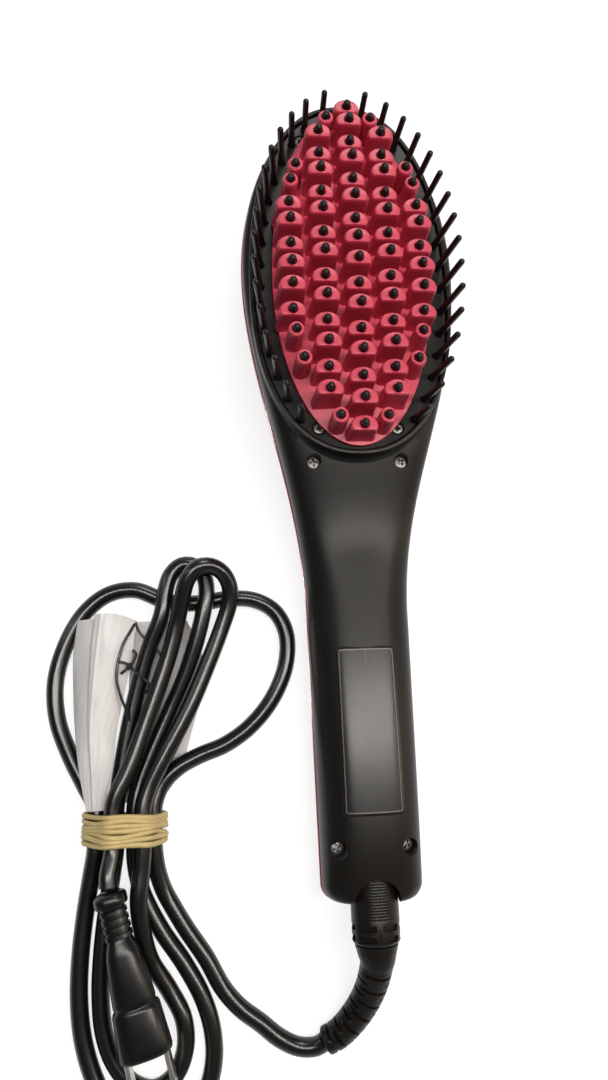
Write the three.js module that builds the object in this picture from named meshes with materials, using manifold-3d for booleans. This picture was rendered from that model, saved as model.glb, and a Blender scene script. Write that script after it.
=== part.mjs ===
// Hair straightening brush: a heated oval pin plate in a black and pink housing, cool outer bristles,
// three push buttons, a swivel cord outlet, and the mains cord folded into a banded hank.
// Millimetres. X is across the brush, Y along it with the head at +Y, Z up.
// The brush lies on its back on the plane z = 0, with the bristles pointing up.

import * as THREE from "three";
import { mergeVertices } from "three/addons/utils/BufferGeometryUtils.js";
import Module from "manifold-3d";

const wasm = await Module();
wasm.setup();

// Fits
const clearance = 0.3;
const wall = 2.2;

// Housing outline
const headHalfWidth = 39.5;
const headCentreY = 77;
const tipLength = 69;
const neckStartY = -55;
const handleHalfWidth = 18.2;
const endHalfWidth = 17;
const endY = -146;
const endCorner = 5;
const endCornerDepth = 3;

// Housing heights
const deckHeight = 36.8;
const headPartingHeight = 28.5;
const tipPartingHeight = 32;
const handlePartingHeight = 12.5;
const handleTopHeight = 25.8;
const gripRise = 2.2;
const endDrop = 3;
const bellyDepth = 0.5;
const neckArch = 8.5;
const neckArchY = -8;
const neckArchReach = 68;
const endLift = 3;

// Oval opening in the cover, its lip and its ledge
const openingSideMargin = 3.9;
const openingTipMargin = 3;
const openingHalfWidth = headHalfWidth - openingSideMargin;
const openingCentreY = 68;
const openingUpper = headCentreY + tipLength - openingTipMargin - openingCentreY;
const openingLower = 63.2;
const openingStartY = openingCentreY - openingLower;
const openingEndY = openingCentreY + openingUpper;
const lipThickness = 1.6;
const lipTop = 37.4;
const ledgeWidth = 2.2;
const ledgeThickness = 2;
const ledgeTop = 33.8;

// Heating plate and its pegs
const plateSideMargin = 6.6;
const plateTipMargin = 2.5;
const plateNeckMargin = 1.2;
const plateHalfWidth = openingHalfWidth - plateSideMargin;
const plateCentreY = 70;
const plateUpper = openingEndY - plateTipMargin - plateCentreY;
const plateLower = plateCentreY - openingStartY - plateNeckMargin;
const plateCrown = 4;
const plateEdge = 1.5;
const rimOverlap = 1.8;
const pegPitch = 8.33;
const columnSpacing = 11.5;
const firstPegY = 135;
const pegTall = 13.4;
const pegShort = 11;
const pegHalfWidth = 5;
const pegDepth = 6;
const roundPegRadius = 3;
const pegSag = 0.00115;
const pinRadius = 1.45;
const pinClearance = 0.55;
const pinReach = 3;

// Bristle ring
const ringThickness = 2.1;
const bristleRadius = 1;
const bristleLength = 21.5;
const bristleCount = 16;
const bristleMargin = 2.4;
const bristleShift = 1;
const bristleOval = {
  halfWidth: openingHalfWidth - bristleMargin,
  centreY: openingCentreY - bristleShift,
  upper: openingUpper,
  lower: openingLower + 0.8
};
const firstBristleX = 7.5;
const lastBristleX = 20.3;
const bristleSplay = 3.2;
const bristleLean = 2;
const bristleTaper = 6;

// Heaters and carrier below the plate
const heaterWidth = 7;
const heaterLength = 92;
const carrierThickness = 2;
const wireRadius = 0.8;

// Screws
const screwShankRadius = 1.1;
const screwHeadRadius = 2.1;
const screwHeadHeight = 1.6;
const ringScrewHeadHeight = 1.1;
const bossRadius = 3.5;
const neckScrewX = 15.8;
const neckScrewY = 2.4;
const neckScrewTop = 30.2;
const handleScrewX = 11.9;
const handleScrewY = -129;
const handleScrewTop = 17;
const handleScrewHoleRadius = 2.8;
const ringScrewLowerX = 0.393 * openingHalfWidth;
const ringScrewUpperX = 0.46 * openingHalfWidth;
const boardScrewX = 10.2;
const boardScrewY = 12;

// Buttons, switches and control board
const powerButtonRadius = 4.5;
const stepButtonRadius = 3.75;
const buttonProud = 0.8;
const buttonTravel = 0.6;
const buttons = [
  { name: "power", y: -16, radius: powerButtonRadius },
  { name: "plus", y: -5, radius: stepButtonRadius },
  { name: "minus", y: 5, radius: stepButtonRadius }
];
const stemRadius = 1.2;
const switchSize = 6;
const switchHeight = 2.9;
const boardBottom = 15.4;
const boardThickness = 1.6;
const boardHalfWidth = 13;
const boardStartY = -26;
const boardEndY = 40;
const switchBottom = boardBottom - clearance - switchHeight;
const stemTop = switchBottom + 1.2;
const windowHalfWidth = 11;
const windowStartY = 18;
const windowEndY = 34;

// Swivel outlet
const collarRadius = 8;
const collarAxisZ = 16.5;
const collarInnerY = -137;
const collarOuterY = -159.3;
const grooveRadius = 5.4;
const grooveWidth = 2;
const collarFlangeRadius = 7.4;
const collarFlangeWidth = 2;
const spindleRadius = 4;
const spindleEndY = -118;
const slipRingRadius = 5.5;
const slipRingWidth = 2.4;
const slipRingYs = [-129.3, -123.3];
const slotsPerRow = 6;
const slotLength = 5.6;
const slotWidth = 1.2;
const slotDepth = 1;

// Mains cord, its band and its plug
const cordDiameter = 6;
const bandThickness = 1.1;
const bandClearance = 0.75;
const bandStartY = -126.4;
const bandEndY = -114.4;
const plugBladeSpacing = 12.7;
const plugBladeLength = 17;

const brush = new THREE.Group();

// Turns a closed geometry into a solid
function solid(geometry) {
  const bare = geometry.clone();
  bare.deleteAttribute("normal");
  bare.deleteAttribute("uv");
  const merged = mergeVertices(bare, 1e-4);
  const triVerts = new Uint32Array(merged.index.array);
  return new wasm.Manifold(new wasm.Mesh({ numProp: 3, vertProperties: merged.attributes.position.array, triVerts }));
}

function join(pieces) {
  return pieces.reduce((sum, piece) => sum.add(piece));
}

function cut(blank, tools) {
  return tools.reduce((rest, tool) => rest.subtract(tool), blank);
}

// Adds one named piece to the brush
function addPart(name, body, material) {
  const mesh = body.simplify(0.04).getMesh();
  const geometry = new THREE.BufferGeometry();
  geometry.setAttribute("position", new THREE.BufferAttribute(new Float32Array(mesh.vertProperties), 3));
  geometry.setIndex(new THREE.BufferAttribute(new Uint32Array(mesh.triVerts), 1));
  geometry.computeVertexNormals();
  const part = new THREE.Mesh(geometry, material);
  part.name = name;
  brush.add(part);
  return part;
}

function look(color, roughness, metalness = 0) {
  return new THREE.MeshStandardMaterial({ color, roughness, metalness });
}

const softBlack = look(0x1d1b1b, 0.55);
const ringBlack = look(0x121212, 0.4);
const glossPink = look(0xb8235a, 0.15);
const platePink = look(0xd6486c, 0.35);
const steel = look(0xb5b5b5, 0.3, 1);
const brass = look(0xc8a24a, 0.3, 1);
const boardGreen = look(0x1f5b35, 0.5);
const ceramicWhite = look(0xe6e2d8, 0.6);
const glassBlack = look(0x08080a, 0.08);
const rubberTan = look(0xdcc48c, 0.6);
const paperWhite = look(0xdedee0, 0.7);
const wireRed = look(0xa02020, 0.5);
const wireBlue = look(0x27509a, 0.5);

// Basic solids
function box(x0, x1, y0, y1, z0, z1) {
  const geometry = new THREE.BoxGeometry(x1 - x0, y1 - y0, z1 - z0);
  geometry.translate((x0 + x1) / 2, (y0 + y1) / 2, (z0 + z1) / 2);
  return solid(geometry);
}

function post(x, y, z0, z1, radius, sides = 16) {
  const geometry = new THREE.CylinderGeometry(radius, radius, z1 - z0, sides);
  geometry.rotateX(Math.PI / 2);
  geometry.translate(x, y, (z0 + z1) / 2);
  return solid(geometry);
}

// A hole whose flats clear a round of the given radius
function hole(x, y, z0, z1, radius, sides = 16) {
  return post(x, y, z0, z1, radius / Math.cos(Math.PI / sides), sides);
}

function cylinderAlongY(x, z, y0, y1, radius, sides = 24) {
  const geometry = new THREE.CylinderGeometry(radius, radius, y1 - y0, sides);
  geometry.translate(x, (y0 + y1) / 2, z);
  return solid(geometry);
}

function boreAlongY(x, z, y0, y1, radius, sides = 24) {
  return cylinderAlongY(x, z, y0, y1, radius / Math.cos(Math.PI / sides), sides);
}

function extrude(outline, z0, z1) {
  const geometry = new THREE.ExtrudeGeometry(new THREE.Shape(outline), { depth: z1 - z0, bevelEnabled: false });
  geometry.translate(0, 0, z0);
  return solid(geometry);
}

// A solid with the given outline in Y and Z, extruded along X
function extrudeAlongX(outline, halfWidth) {
  const geometry = new THREE.ExtrudeGeometry(new THREE.Shape(outline), { depth: 2 * halfWidth, bevelEnabled: false });
  geometry.translate(0, 0, -halfWidth);
  const axes = new THREE.Matrix4().makeBasis(
    new THREE.Vector3(0, 1, 0),
    new THREE.Vector3(0, 0, 1),
    new THREE.Vector3(1, 0, 0)
  );
  geometry.applyMatrix4(axes);
  return solid(geometry);
}

// A closed skin over rings of equal length, with a fan at each end
function loft(rings) {
  const count = rings[0].length;
  const positions = [];
  const index = [];
  for (const ring of rings) {
    for (const point of ring) {
      positions.push(point.x, point.y, point.z);
    }
  }
  for (let r = 0; r + 1 < rings.length; r++) {
    for (let i = 0; i < count; i++) {
      const next = (i + 1) % count;
      const a = r * count + i;
      const b = r * count + next;
      index.push(a, b, b + count, a, b + count, a + count);
    }
  }
  for (const [r, flip] of [[0, true], [rings.length - 1, false]]) {
    const centre = new THREE.Vector3();
    rings[r].forEach((point) => centre.addScaledVector(point, 1 / count));
    const hub = positions.length / 3;
    positions.push(centre.x, centre.y, centre.z);
    for (let i = 0; i < count; i++) {
      const a = r * count + i;
      const b = r * count + ((i + 1) % count);
      index.push(...(flip ? [hub, b, a] : [hub, a, b]));
    }
  }
  const geometry = new THREE.BufferGeometry();
  geometry.setAttribute("position", new THREE.Float32BufferAttribute(positions, 3));
  geometry.setIndex(index);
  return solid(facingOut(geometry));
}

// Turns every triangle over when the skin encloses a negative volume
function facingOut(geometry) {
  const at = geometry.attributes.position;
  const index = geometry.index.array;
  const corners = [new THREE.Vector3(), new THREE.Vector3(), new THREE.Vector3()];
  let volume = 0;
  for (let t = 0; t < index.length; t += 3) {
    corners.forEach((corner, k) => corner.fromBufferAttribute(at, index[t + k]));
    volume += corners[0].dot(corners[1].cross(corners[2]));
  }
  if (volume < 0) {
    for (let t = 0; t < index.length; t += 3) {
      [index[t + 1], index[t + 2]] = [index[t + 2], index[t + 1]];
    }
  }
  return geometry;
}

function clamp01(t) {
  return Math.min(1, Math.max(0, t));
}

// Rises smoothly from 0 to 1 as t goes from 0 to 1
function ease(t) {
  return 0.5 - 0.5 * Math.cos(Math.PI * clamp01(t));
}

function signedPower(value, power) {
  return Math.sign(value) * Math.abs(value) ** power;
}

// An oval about (0, centreY) whose upper and lower halves have their own length
function oval({ halfWidth, centreY, upper, lower, power = 2 }, offset, segments) {
  const outline = [];
  for (let i = 0; i < segments; i++) {
    const angle = (2 * Math.PI * i) / segments;
    const reach = (Math.sin(angle) > 0 ? upper : lower) + offset;
    const x = (halfWidth + offset) * signedPower(Math.cos(angle), 2 / power);
    const y = centreY + reach * signedPower(Math.sin(angle), 2 / power);
    outline.push(new THREE.Vector2(x, y));
  }
  return outline;
}

const ovalSegments = 32;
const opening = {
  halfWidth: openingHalfWidth,
  centreY: openingCentreY,
  upper: openingUpper,
  lower: openingLower,
  power: 2.25
};
const plateOval = { halfWidth: plateHalfWidth, centreY: plateCentreY, upper: plateUpper, lower: plateLower };

// Housing section at a station along the brush, drawn in by an inset
function section(y, inset) {
  const along = Math.max(0, (y - headCentreY) / (tipLength - inset));
  const round = Math.sqrt(Math.max(0, 1 - along * along));
  const parting = partingHeight(y);
  let halfWidth = headHalfWidth - inset;
  if (y < headCentreY) {
    const swell = Math.cos((0.5 * Math.PI * (headCentreY - y)) / (headCentreY - neckStartY));
    halfWidth = handleHalfWidth - inset + (headHalfWidth - handleHalfWidth) * Math.max(0, swell) ** 2.2;
  }
  if (y < neckStartY) {
    const toEnd = (neckStartY - y) / (neckStartY - endY);
    const corner = Math.max(0, (endY + endCorner - y) / endCorner);
    halfWidth = handleHalfWidth + (endHalfWidth - handleHalfWidth) * toEnd - inset - endCornerDepth * corner ** 2;
  }
  const top = topHeight(y) - inset;
  const bottom = bottomHeight(y) + inset;
  return {
    halfWidth: halfWidth * round,
    parting,
    top: parting + (top - parting) * Math.cbrt(round),
    bottom: parting - (parting - bottom) * round,
    topPower: 2.4 + 3.6 * ease((y + 50) / 110),
    bottomPower: 2.3
  };
}

function partingHeight(y) {
  const toTip = Math.max(0, (y - headCentreY) / tipLength);
  const head = headPartingHeight + (tipPartingHeight - headPartingHeight) * toTip ** 2;
  return handlePartingHeight + (head - handlePartingHeight) * ease((y + 50) / 110);
}

function topHeight(y) {
  const grip = gripRise * ease((-30 - y) / 88);
  const drop = endDrop * Math.max(0, (-118 - y) / 28) ** 2;
  return handleTopHeight + (deckHeight - handleTopHeight) * ease((y + 30) / 60) + grip - drop;
}

function bottomHeight(y) {
  const fromArch = clamp01(Math.abs(y - neckArchY) / neckArchReach);
  const lift = endLift * Math.max(0, (-110 - y) / 36) ** 2;
  return -bellyDepth + neckArch * Math.cos(0.5 * Math.PI * fromArch) ** 2 + lift;
}

// Height of the underside of the housing at a point, drawn in by an inset
function undersideAt(x, y, inset) {
  const { halfWidth, parting, bottom, bottomPower } = section(y, inset);
  const side = Math.abs(x / halfWidth) ** bottomPower;
  return parting - (parting - bottom) * (1 - side) ** (1 / bottomPower);
}

function housingRing(y, inset, halfPoints) {
  const s = section(y, inset);
  const ring = [];
  for (let i = 0; i < 2 * halfPoints; i++) {
    const angle = (Math.PI * i) / halfPoints;
    const upper = i <= halfPoints;
    const power = 2 / (upper ? s.topPower : s.bottomPower);
    const rise = upper ? s.top - s.parting : s.parting - s.bottom;
    const x = s.halfWidth * signedPower(Math.cos(angle), power);
    const z = s.parting + rise * signedPower(Math.sin(angle), power);
    ring.push(new THREE.Vector3(x, y, z));
  }
  return ring;
}

// Stations from the tip to the end of the handle, closer where the housing curves faster
function stations(inset) {
  const list = [];
  for (const degrees of [88, 73, 57, 39, 20]) {
    list.push(headCentreY + (tipLength - inset) * Math.sin(THREE.MathUtils.degToRad(degrees)));
  }
  for (let y = headCentreY; y > neckStartY; y -= 16.5) {
    list.push(y);
  }
  for (let y = neckStartY - 12; y > endY + endCorner + 5; y -= 26) {
    list.push(y);
  }
  const endFace = endY + inset;
  list.push(endFace + endCorner, endFace + 0.35 * endCorner, endFace);
  return list;
}

function housingSolid(inset, halfPoints) {
  return loft(stations(inset).map((y) => housingRing(y, inset, halfPoints)));
}

// Everything on one side of the parting curve
function partingSide(offset, farHeight) {
  const outline = [];
  for (const y of stations(0)) {
    outline.push(new THREE.Vector2(y, partingHeight(y) + offset));
  }
  outline.unshift(new THREE.Vector2(headCentreY + tipLength + 10, tipPartingHeight + offset));
  outline.push(new THREE.Vector2(endY - 10, handlePartingHeight + offset));
  outline.push(new THREE.Vector2(endY - 10, farHeight), new THREE.Vector2(headCentreY + tipLength + 10, farHeight));
  if (farHeight > tipPartingHeight) {
    outline.reverse();
  }
  return extrudeAlongX(outline, headHalfWidth + 10);
}

const tableCut = box(-60, 60, endY - 20, headCentreY + tipLength + 20, -20, 0);
const housingOuter = housingSolid(0, 12).subtract(tableCut);
const housingWall = housingOuter.subtract(housingSolid(wall, 7));

// Four named places, two at the lower end and two at the upper end
function corners(name, lowerX, lowerY, upperX, upperY) {
  return [
    { name: `${name}_lower_left`, x: -lowerX, y: lowerY },
    { name: `${name}_lower_right`, x: lowerX, y: lowerY },
    { name: `${name}_upper_left`, x: -upperX, y: upperY },
    { name: `${name}_upper_right`, x: upperX, y: upperY }
  ];
}

// The screw places, mirrored left and right
const neckScrews = [-1, 1].map((side) => ({ side, x: side * neckScrewX, y: neckScrewY }));
const handleScrews = [-1, 1].map((side) => ({ side, x: side * handleScrewX, y: handleScrewY }));
const ringScrews = corners("ring_screw", ringScrewLowerX, openingStartY + 8.2, ringScrewUpperX, openingEndY - 13.6);
const boardScrews = [-1, 1].map((side) => ({ side, x: side * boardScrewX, y: boardScrewY }));
const plateScrewX = 1.5 * columnSpacing;
const plateScrews = corners("plate_screw", plateScrewX, plateCentreY - 24, plateScrewX, plateCentreY + 26);
const shankHoleRadius = screwShankRadius + clearance;
const headHoleRadius = screwHeadRadius + clearance;
const ledgeBottom = ledgeTop - ledgeThickness;
const ringBottom = ledgeTop + clearance;
const ringTop = ringBottom + ringThickness;
const plateBottom = ringTop + clearance;
const ringScrewTabRadius = 3.2;
const ribY = collarInnerY + grooveWidth / 2;
const ribHalf = grooveWidth / 2 - clearance;
const cavityFloor = 3;

function screw(x, y, headTop, length, headHeight = screwHeadHeight) {
  const headBottom = headTop - headHeight;
  const head = post(x, y, headBottom, headTop, screwHeadRadius, 10);
  const shank = post(x, y, headTop - length, headBottom + 0.2, screwShankRadius, 6);
  const slots = [box(x - 1.3, x + 1.3, y - 0.25, y + 0.25, headTop - 0.7, headTop + 1)];
  slots.push(box(x - 0.25, x + 0.25, y - 1.3, y + 1.3, headTop - 0.7, headTop + 1));
  return cut(head.add(shank), slots);
}

// Front cover: upper shell with the oval opening, lip, ledge, screw bosses and the notch for the outlet
function frontCover() {
  const shell = housingWall.intersect(partingSide(clearance / 2, 80));
  const lip = extrude(oval(opening, lipThickness, ovalSegments), ledgeBottom, lipTop);
  const mouth = extrude(oval(opening, 0, ovalSegments), ledgeTop, lipTop + 10);
  const well = extrude(oval(opening, -ledgeWidth, ovalSegments), 0, lipTop + 10);
  const tabs = ringScrews.map(({ x, y }) => post(x, y, ledgeBottom, ledgeTop, ringScrewTabRadius, 12));
  let cover = cut(shell.add(lip), [mouth, well]);
  cover = join([cover, ...tabs]);
  const neckSeat = neckScrewTop - screwHeadHeight - clearance;
  const handleSeat = handleScrewTop - screwHeadHeight - clearance;
  const neckBosses = neckScrews.map(({ x, y }) => post(x, y, neckSeat - 4, neckScrewTop + 4, bossRadius));
  const handleBosses = handleScrews.map(({ x, y }) =>
    post(x, y, handlePartingHeight + clearance / 2, 30, handleScrewHoleRadius + 1.4)
  );
  cover = cover.add(join([...neckBosses, ...handleBosses]).intersect(housingOuter));
  const rib = box(-11, 11, ribY - ribHalf, ribY + ribHalf, collarAxisZ + clearance / 2, 40);
  cover = cover.add(rib.intersect(housingOuter));
  const tools = [boreAlongY(0, collarAxisZ, collarInnerY - 1.2, collarInnerY + 6, grooveRadius + clearance)];
  for (const { x, y } of ringScrews) {
    tools.push(hole(x, y, 0, 60, shankHoleRadius, 10));
  }
  for (const { x, y } of neckScrews) {
    tools.push(hole(x, y, 0, 60, shankHoleRadius, 10), hole(x, y, neckSeat, 60, headHoleRadius));
  }
  for (const { x, y } of handleScrews) {
    tools.push(hole(x, y, 0, 60, shankHoleRadius, 10), hole(x, y, handleSeat, 60, handleScrewHoleRadius));
  }
  tools.push(boreAlongY(0, collarAxisZ, endY - 5, collarInnerY + clearance, collarRadius + clearance));
  tools.push(outletNotch());
  return cut(cover, tools);
}

// The arched notch over the outlet collar
function outletNotch() {
  const half = collarRadius + clearance;
  const shape = new THREE.Shape();
  shape.moveTo(-half, endY - 5);
  shape.lineTo(half, endY - 5);
  shape.lineTo(half, collarInnerY - 3);
  shape.quadraticCurveTo(0, collarInnerY + 0.5, -half, collarInnerY - 3);
  return extrude(shape.getPoints(6), collarAxisZ, 40);
}

// Back shell: lower shell with bosses, board posts, bearing ribs and the holes for buttons and window
function backShell() {
  const shell = housingWall.intersect(partingSide(-clearance / 2, -30));
  const neckBossTop = neckScrewTop - screwHeadHeight - clearance - 4 - clearance;
  const handleBossTop = handlePartingHeight - clearance / 2;
  const inside = [];
  neckScrews.forEach(({ x, y }) => inside.push(post(x, y, 0, neckBossTop, bossRadius)));
  handleScrews.forEach(({ x, y }) => inside.push(post(x, y, 0, handleBossTop, bossRadius)));
  boardScrews.forEach(({ x, y }) => inside.push(post(x, y, 0, boardBottom - clearance, 2.6, 12)));
  [-1, 1].forEach((side) => inside.push(post(side * 10.5, -22, 0, boardBottom - clearance, 2, 12)));
  inside.push(box(-13, 13, ribY - ribHalf, ribY + ribHalf, 0, collarAxisZ - clearance / 2));
  const keel = housingOuter.intersect(join(inside));
  const tools = [];
  for (const { x, y } of neckScrews) {
    tools.push(hole(x, y, neckScrewTop - 17, 60, shankHoleRadius, 10));
  }
  for (const { x, y } of handleScrews) {
    tools.push(hole(x, y, cavityFloor + 1, 60, shankHoleRadius, 10));
  }
  for (const { x, y } of boardScrews) {
    tools.push(hole(x, y, boardBottom - 6, 60, shankHoleRadius, 10));
  }
  buttons.forEach(({ y, radius }) => tools.push(hole(0, y, -1, boardBottom - 4, radius, 16)));
  tools.push(box(-windowHalfWidth, windowHalfWidth, windowStartY, windowEndY, -5, boardBottom - 4));
  tools.push(boreAlongY(0, collarAxisZ, endY - 5, collarInnerY + clearance, collarRadius + clearance));
  tools.push(boreAlongY(0, collarAxisZ, collarInnerY - 1.2, collarInnerY + 6, grooveRadius + clearance));
  return cut(shell.add(keel), tools);
}

// A button cap turned about its stem: domed face, retaining flange and stem
function buttonCap({ y, radius }) {
  const capRadius = radius - clearance;
  const flangeRadius = radius + 0.9;
  const face = bottomHeight(y) - buttonProud;
  const flangeBottom = undersideAt(flangeRadius, y, wall) + 2 * clearance;
  const flangeTop = Math.min(flangeBottom + 0.8, switchBottom - buttonTravel - clearance);
  const profile = [
    new THREE.Vector2(0, face),
    new THREE.Vector2(capRadius - 1, face + 0.1),
    new THREE.Vector2(capRadius, face + 0.6),
    new THREE.Vector2(capRadius, flangeBottom),
    new THREE.Vector2(flangeRadius, flangeBottom),
    new THREE.Vector2(flangeRadius, flangeTop),
    new THREE.Vector2(stemRadius, flangeTop),
    new THREE.Vector2(stemRadius, stemTop),
    new THREE.Vector2(0, stemTop)
  ];
  const geometry = new THREE.LatheGeometry(profile, 14);
  geometry.rotateX(Math.PI / 2);
  geometry.translate(0, y, 0);
  return solid(facingOut(mergedPositions(geometry)));
}

function mergedPositions(geometry) {
  geometry.deleteAttribute("normal");
  geometry.deleteAttribute("uv");
  return mergeVertices(geometry, 1e-4);
}

function tactSwitch({ y }) {
  const half = switchSize / 2;
  const body = box(-half, half, y - half, y + half, switchBottom, boardBottom - clearance);
  const bore = hole(0, y, switchBottom - 1, stemTop + buttonTravel + clearance, stemRadius + clearance, 10);
  return body.subtract(bore);
}

// Display window cut from the same wall as the shell around it
function displayWindow() {
  const skin = housingOuter.subtract(housingSolid(1.5, 10));
  const half = windowHalfWidth - clearance;
  const pane = box(-half, half, windowStartY + clearance, windowEndY - clearance, -5, boardBottom - 4);
  return skin.intersect(pane);
}

function displayModule() {
  const half = windowHalfWidth - 1.5;
  return box(half * -1, half, windowStartY + 1, windowEndY - 1, 7.4, boardBottom - clearance);
}

function controlBoard() {
  const board = box(-boardHalfWidth, boardHalfWidth, boardStartY, boardEndY, boardBottom, boardBottom + boardThickness);
  const holes = boardScrews.map(({ x, y }) => hole(x, y, 0, 60, shankHoleRadius, 10));
  const neckReliefs = neckScrews.map(({ x, y }) => hole(x, y, 0, 60, bossRadius + clearance, 12));
  return cut(board, [...holes, ...neckReliefs]);
}

// Bristle places on one side of the ring, evenly spaced along an oval
function bristlePlaces() {
  const start = Math.acos(firstBristleX / bristleOval.halfWidth);
  const end = -Math.acos(lastBristleX / bristleOval.halfWidth);
  const points = [];
  for (let i = 0; i <= 30; i++) {
    const angle = start + ((end - start) * i) / 30;
    const reach = angle > 0 ? bristleOval.upper : bristleOval.lower;
    const y = bristleOval.centreY + reach * Math.sin(angle);
    points.push(new THREE.Vector3(bristleOval.halfWidth * Math.cos(angle), y, 0));
  }
  return new THREE.CatmullRomCurve3(points).getSpacedPoints(bristleCount - 1);
}

// Round bristles that lean outwards most at the middle of the head
function bristle(x, y, side) {
  const along = (y - plateCentreY) / (0.5 * (plateUpper + plateLower) - 2.25);
  const length = bristleLength - bristleTaper * along ** 2;
  const splay = bristleSplay * (1 - 0.8 * along ** 2);
  const lean = new THREE.Vector3(side * splay, bristleLean * along, length).normalize();
  const root = ringTop - 0.6;
  const profile = [
    new THREE.Vector2(0, 0),
    new THREE.Vector2(bristleRadius * 1.15, 0),
    new THREE.Vector2(bristleRadius, length - 0.6),
    new THREE.Vector2(0, length)
  ];
  const geometry = mergedPositions(new THREE.LatheGeometry(profile, 5));
  geometry.applyQuaternion(new THREE.Quaternion().setFromUnitVectors(new THREE.Vector3(0, 1, 0), lean));
  geometry.translate(side * x, y, root);
  return solid(facingOut(geometry));
}

function bristleRing() {
  const disc = extrude(oval(opening, -clearance, ovalSegments), ringBottom, ringTop);
  const window = extrude(oval(plateOval, -rimOverlap, ovalSegments), 0, 60);
  const bristles = [];
  for (const { x, y } of bristlePlaces()) {
    bristles.push(bristle(x, y, -1), bristle(x, y, 1));
  }
  const holes = [];
  for (const { x, y } of ringScrews) {
    const seat = ringTop - ringScrewHeadHeight - clearance;
    holes.push(hole(x, y, 0, 60, shankHoleRadius, 10), hole(x, y, seat, 60, headHoleRadius));
  }
  return cut(join([disc.subtract(window), ...bristles]), holes);
}

// Peg places: a centre column, two columns of D pegs on each side, and round pegs near the rim
function pegPlaces() {
  const places = [];
  const centreTall = [0, 1, 0, 1, 0, 1, 0, 1, 1, 0, 1, 0, 1, 0, 1, 0];
  centreTall.forEach((tall, row) => {
    places.push({ x: 0, y: firstPegY - pegPitch * row, tall, drop: 0 });
  });
  for (const side of [-1, 1]) {
    for (let row = 0; row < 13; row++) {
      const y = firstPegY - pegPitch * (row + 1.59);
      places.push({ x: side * columnSpacing, y, tall: (row + 1) % 2, drop: 1.05 });
    }
    [0, 1, 0, 1, 1, 0].forEach((tall, row) => {
      const y = firstPegY - pegPitch * (row + 5.035);
      places.push({ x: side * 2 * columnSpacing, y, tall, drop: 2.56 });
    });
    for (const [x, y] of [[8.2, 129], [20.2, 108.3], [22.2, 101.9], [22.1, 43.6], [19.8, 33.4], [8.2, 12.9]]) {
      places.push({ x: side * x, y, tall: 0.5, drop: 0.0048 * x * x, round: true });
    }
  }
  return places.map((place) => ({ ...place, top: pegTop(place) }));
}

function pegTop({ y, tall, drop }) {
  const base = plateBottom + plateEdge + plateCrown;
  return base + pegShort + (pegTall - pegShort) * tall - drop - pegSag * (y - plateCentreY - 2) ** 2;
}

// Outline of a D peg, flat towards the handle, or of a round one
function pegOutline(round, scale) {
  const points = [];
  const count = 6;
  for (let i = 0; i < count; i++) {
    const angle = round ? (2 * Math.PI * i) / count : THREE.MathUtils.degToRad(-30 + (240 * i) / (count - 1));
    const reachX = round ? roundPegRadius : pegHalfWidth;
    const reachY = round ? roundPegRadius : (2 * pegDepth) / 3;
    const lift = round ? 0 : -0.4;
    points.push(new THREE.Vector2(scale * reachX * Math.cos(angle), scale * (lift + reachY * Math.sin(angle))));
  }
  return points;
}

function peg({ x, y, top, round }) {
  const levels = [[plateBottom + 1.2, 1.06], [top - 1.3, 1], [top, 0.72]];
  if (round) {
    levels.splice(1, 1);
  }
  const rings = levels.map(([z, scale]) =>
    pegOutline(round, scale).map((point) => new THREE.Vector3(x + point.x, y + point.y, z))
  );
  return loft(rings);
}

// Domed oval plate with a straight edge
function plateDome() {
  const edgeTop = plateBottom + plateEdge;
  const shoulder = 0.55;
  const ringAt = (share, z) =>
    oval(plateOval, 0, 24).map(
      (point) => new THREE.Vector3(point.x * share, plateCentreY + (point.y - plateCentreY) * share, z)
    );
  const shoulderTop = edgeTop + plateCrown * (1 - shoulder ** 2);
  return loft([ringAt(0.999, plateBottom), ringAt(1, edgeTop), ringAt(shoulder, shoulderTop)]);
}

function heatingPlate(places) {
  const body = join([plateDome(), ...places.map(peg)]);
  const bores = places.map(({ x, y }) => post(x, y, 0, 80, pinRadius + pinClearance, 6));
  const screwHoles = plateScrews.map(({ x, y }) => hole(x, y, 0, plateBottom + 2.4, shankHoleRadius, 10));
  return cut(body, [...bores, ...screwHoles]);
}

const combTop = plateBottom - clearance;
const combThickness = 2;
const heaterX = columnSpacing / 2;
const heaterCentreY = plateCentreY - 1;
const heaterStartY = heaterCentreY - heaterLength / 2;
const heaterEndY = heaterCentreY + heaterLength / 2;
const wireWellY = heaterStartY - 4;

// Comb whose pins stand through the pegs and make their cool tips
function tipComb(places) {
  const disc = extrude(oval(plateOval, -rimOverlap - clearance, ovalSegments), combTop - combThickness, combTop);
  const pins = places.map(({ x, y, top }) => pin(x, y, top + pinReach));
  const windowHalf = heaterWidth / 2 + clearance;
  const windows = [-1, 1].map((side) =>
    box(side * heaterX - windowHalf, side * heaterX + windowHalf, wireWellY - 2, heaterEndY + clearance, 0, combTop + 0.05)
  );
  const holes = plateScrews.map(({ x, y }) => hole(x, y, 0, combTop + 0.05, shankHoleRadius, 10));
  return join([cut(disc, [...windows, ...holes]), ...pins]);
}

function pin(x, y, top) {
  const bottom = combTop - combThickness / 2;
  const profile = [
    new THREE.Vector2(0, 0),
    new THREE.Vector2(pinRadius, 0),
    new THREE.Vector2(pinRadius, top - bottom - 0.9),
    new THREE.Vector2(0, top - bottom)
  ];
  const geometry = mergedPositions(new THREE.LatheGeometry(profile, 5));
  geometry.rotateX(Math.PI / 2);
  geometry.translate(x, y, bottom);
  return solid(facingOut(geometry));
}

const carrierTop = ringBottom - clearance;
const carrierBottom = carrierTop - carrierThickness;

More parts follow.
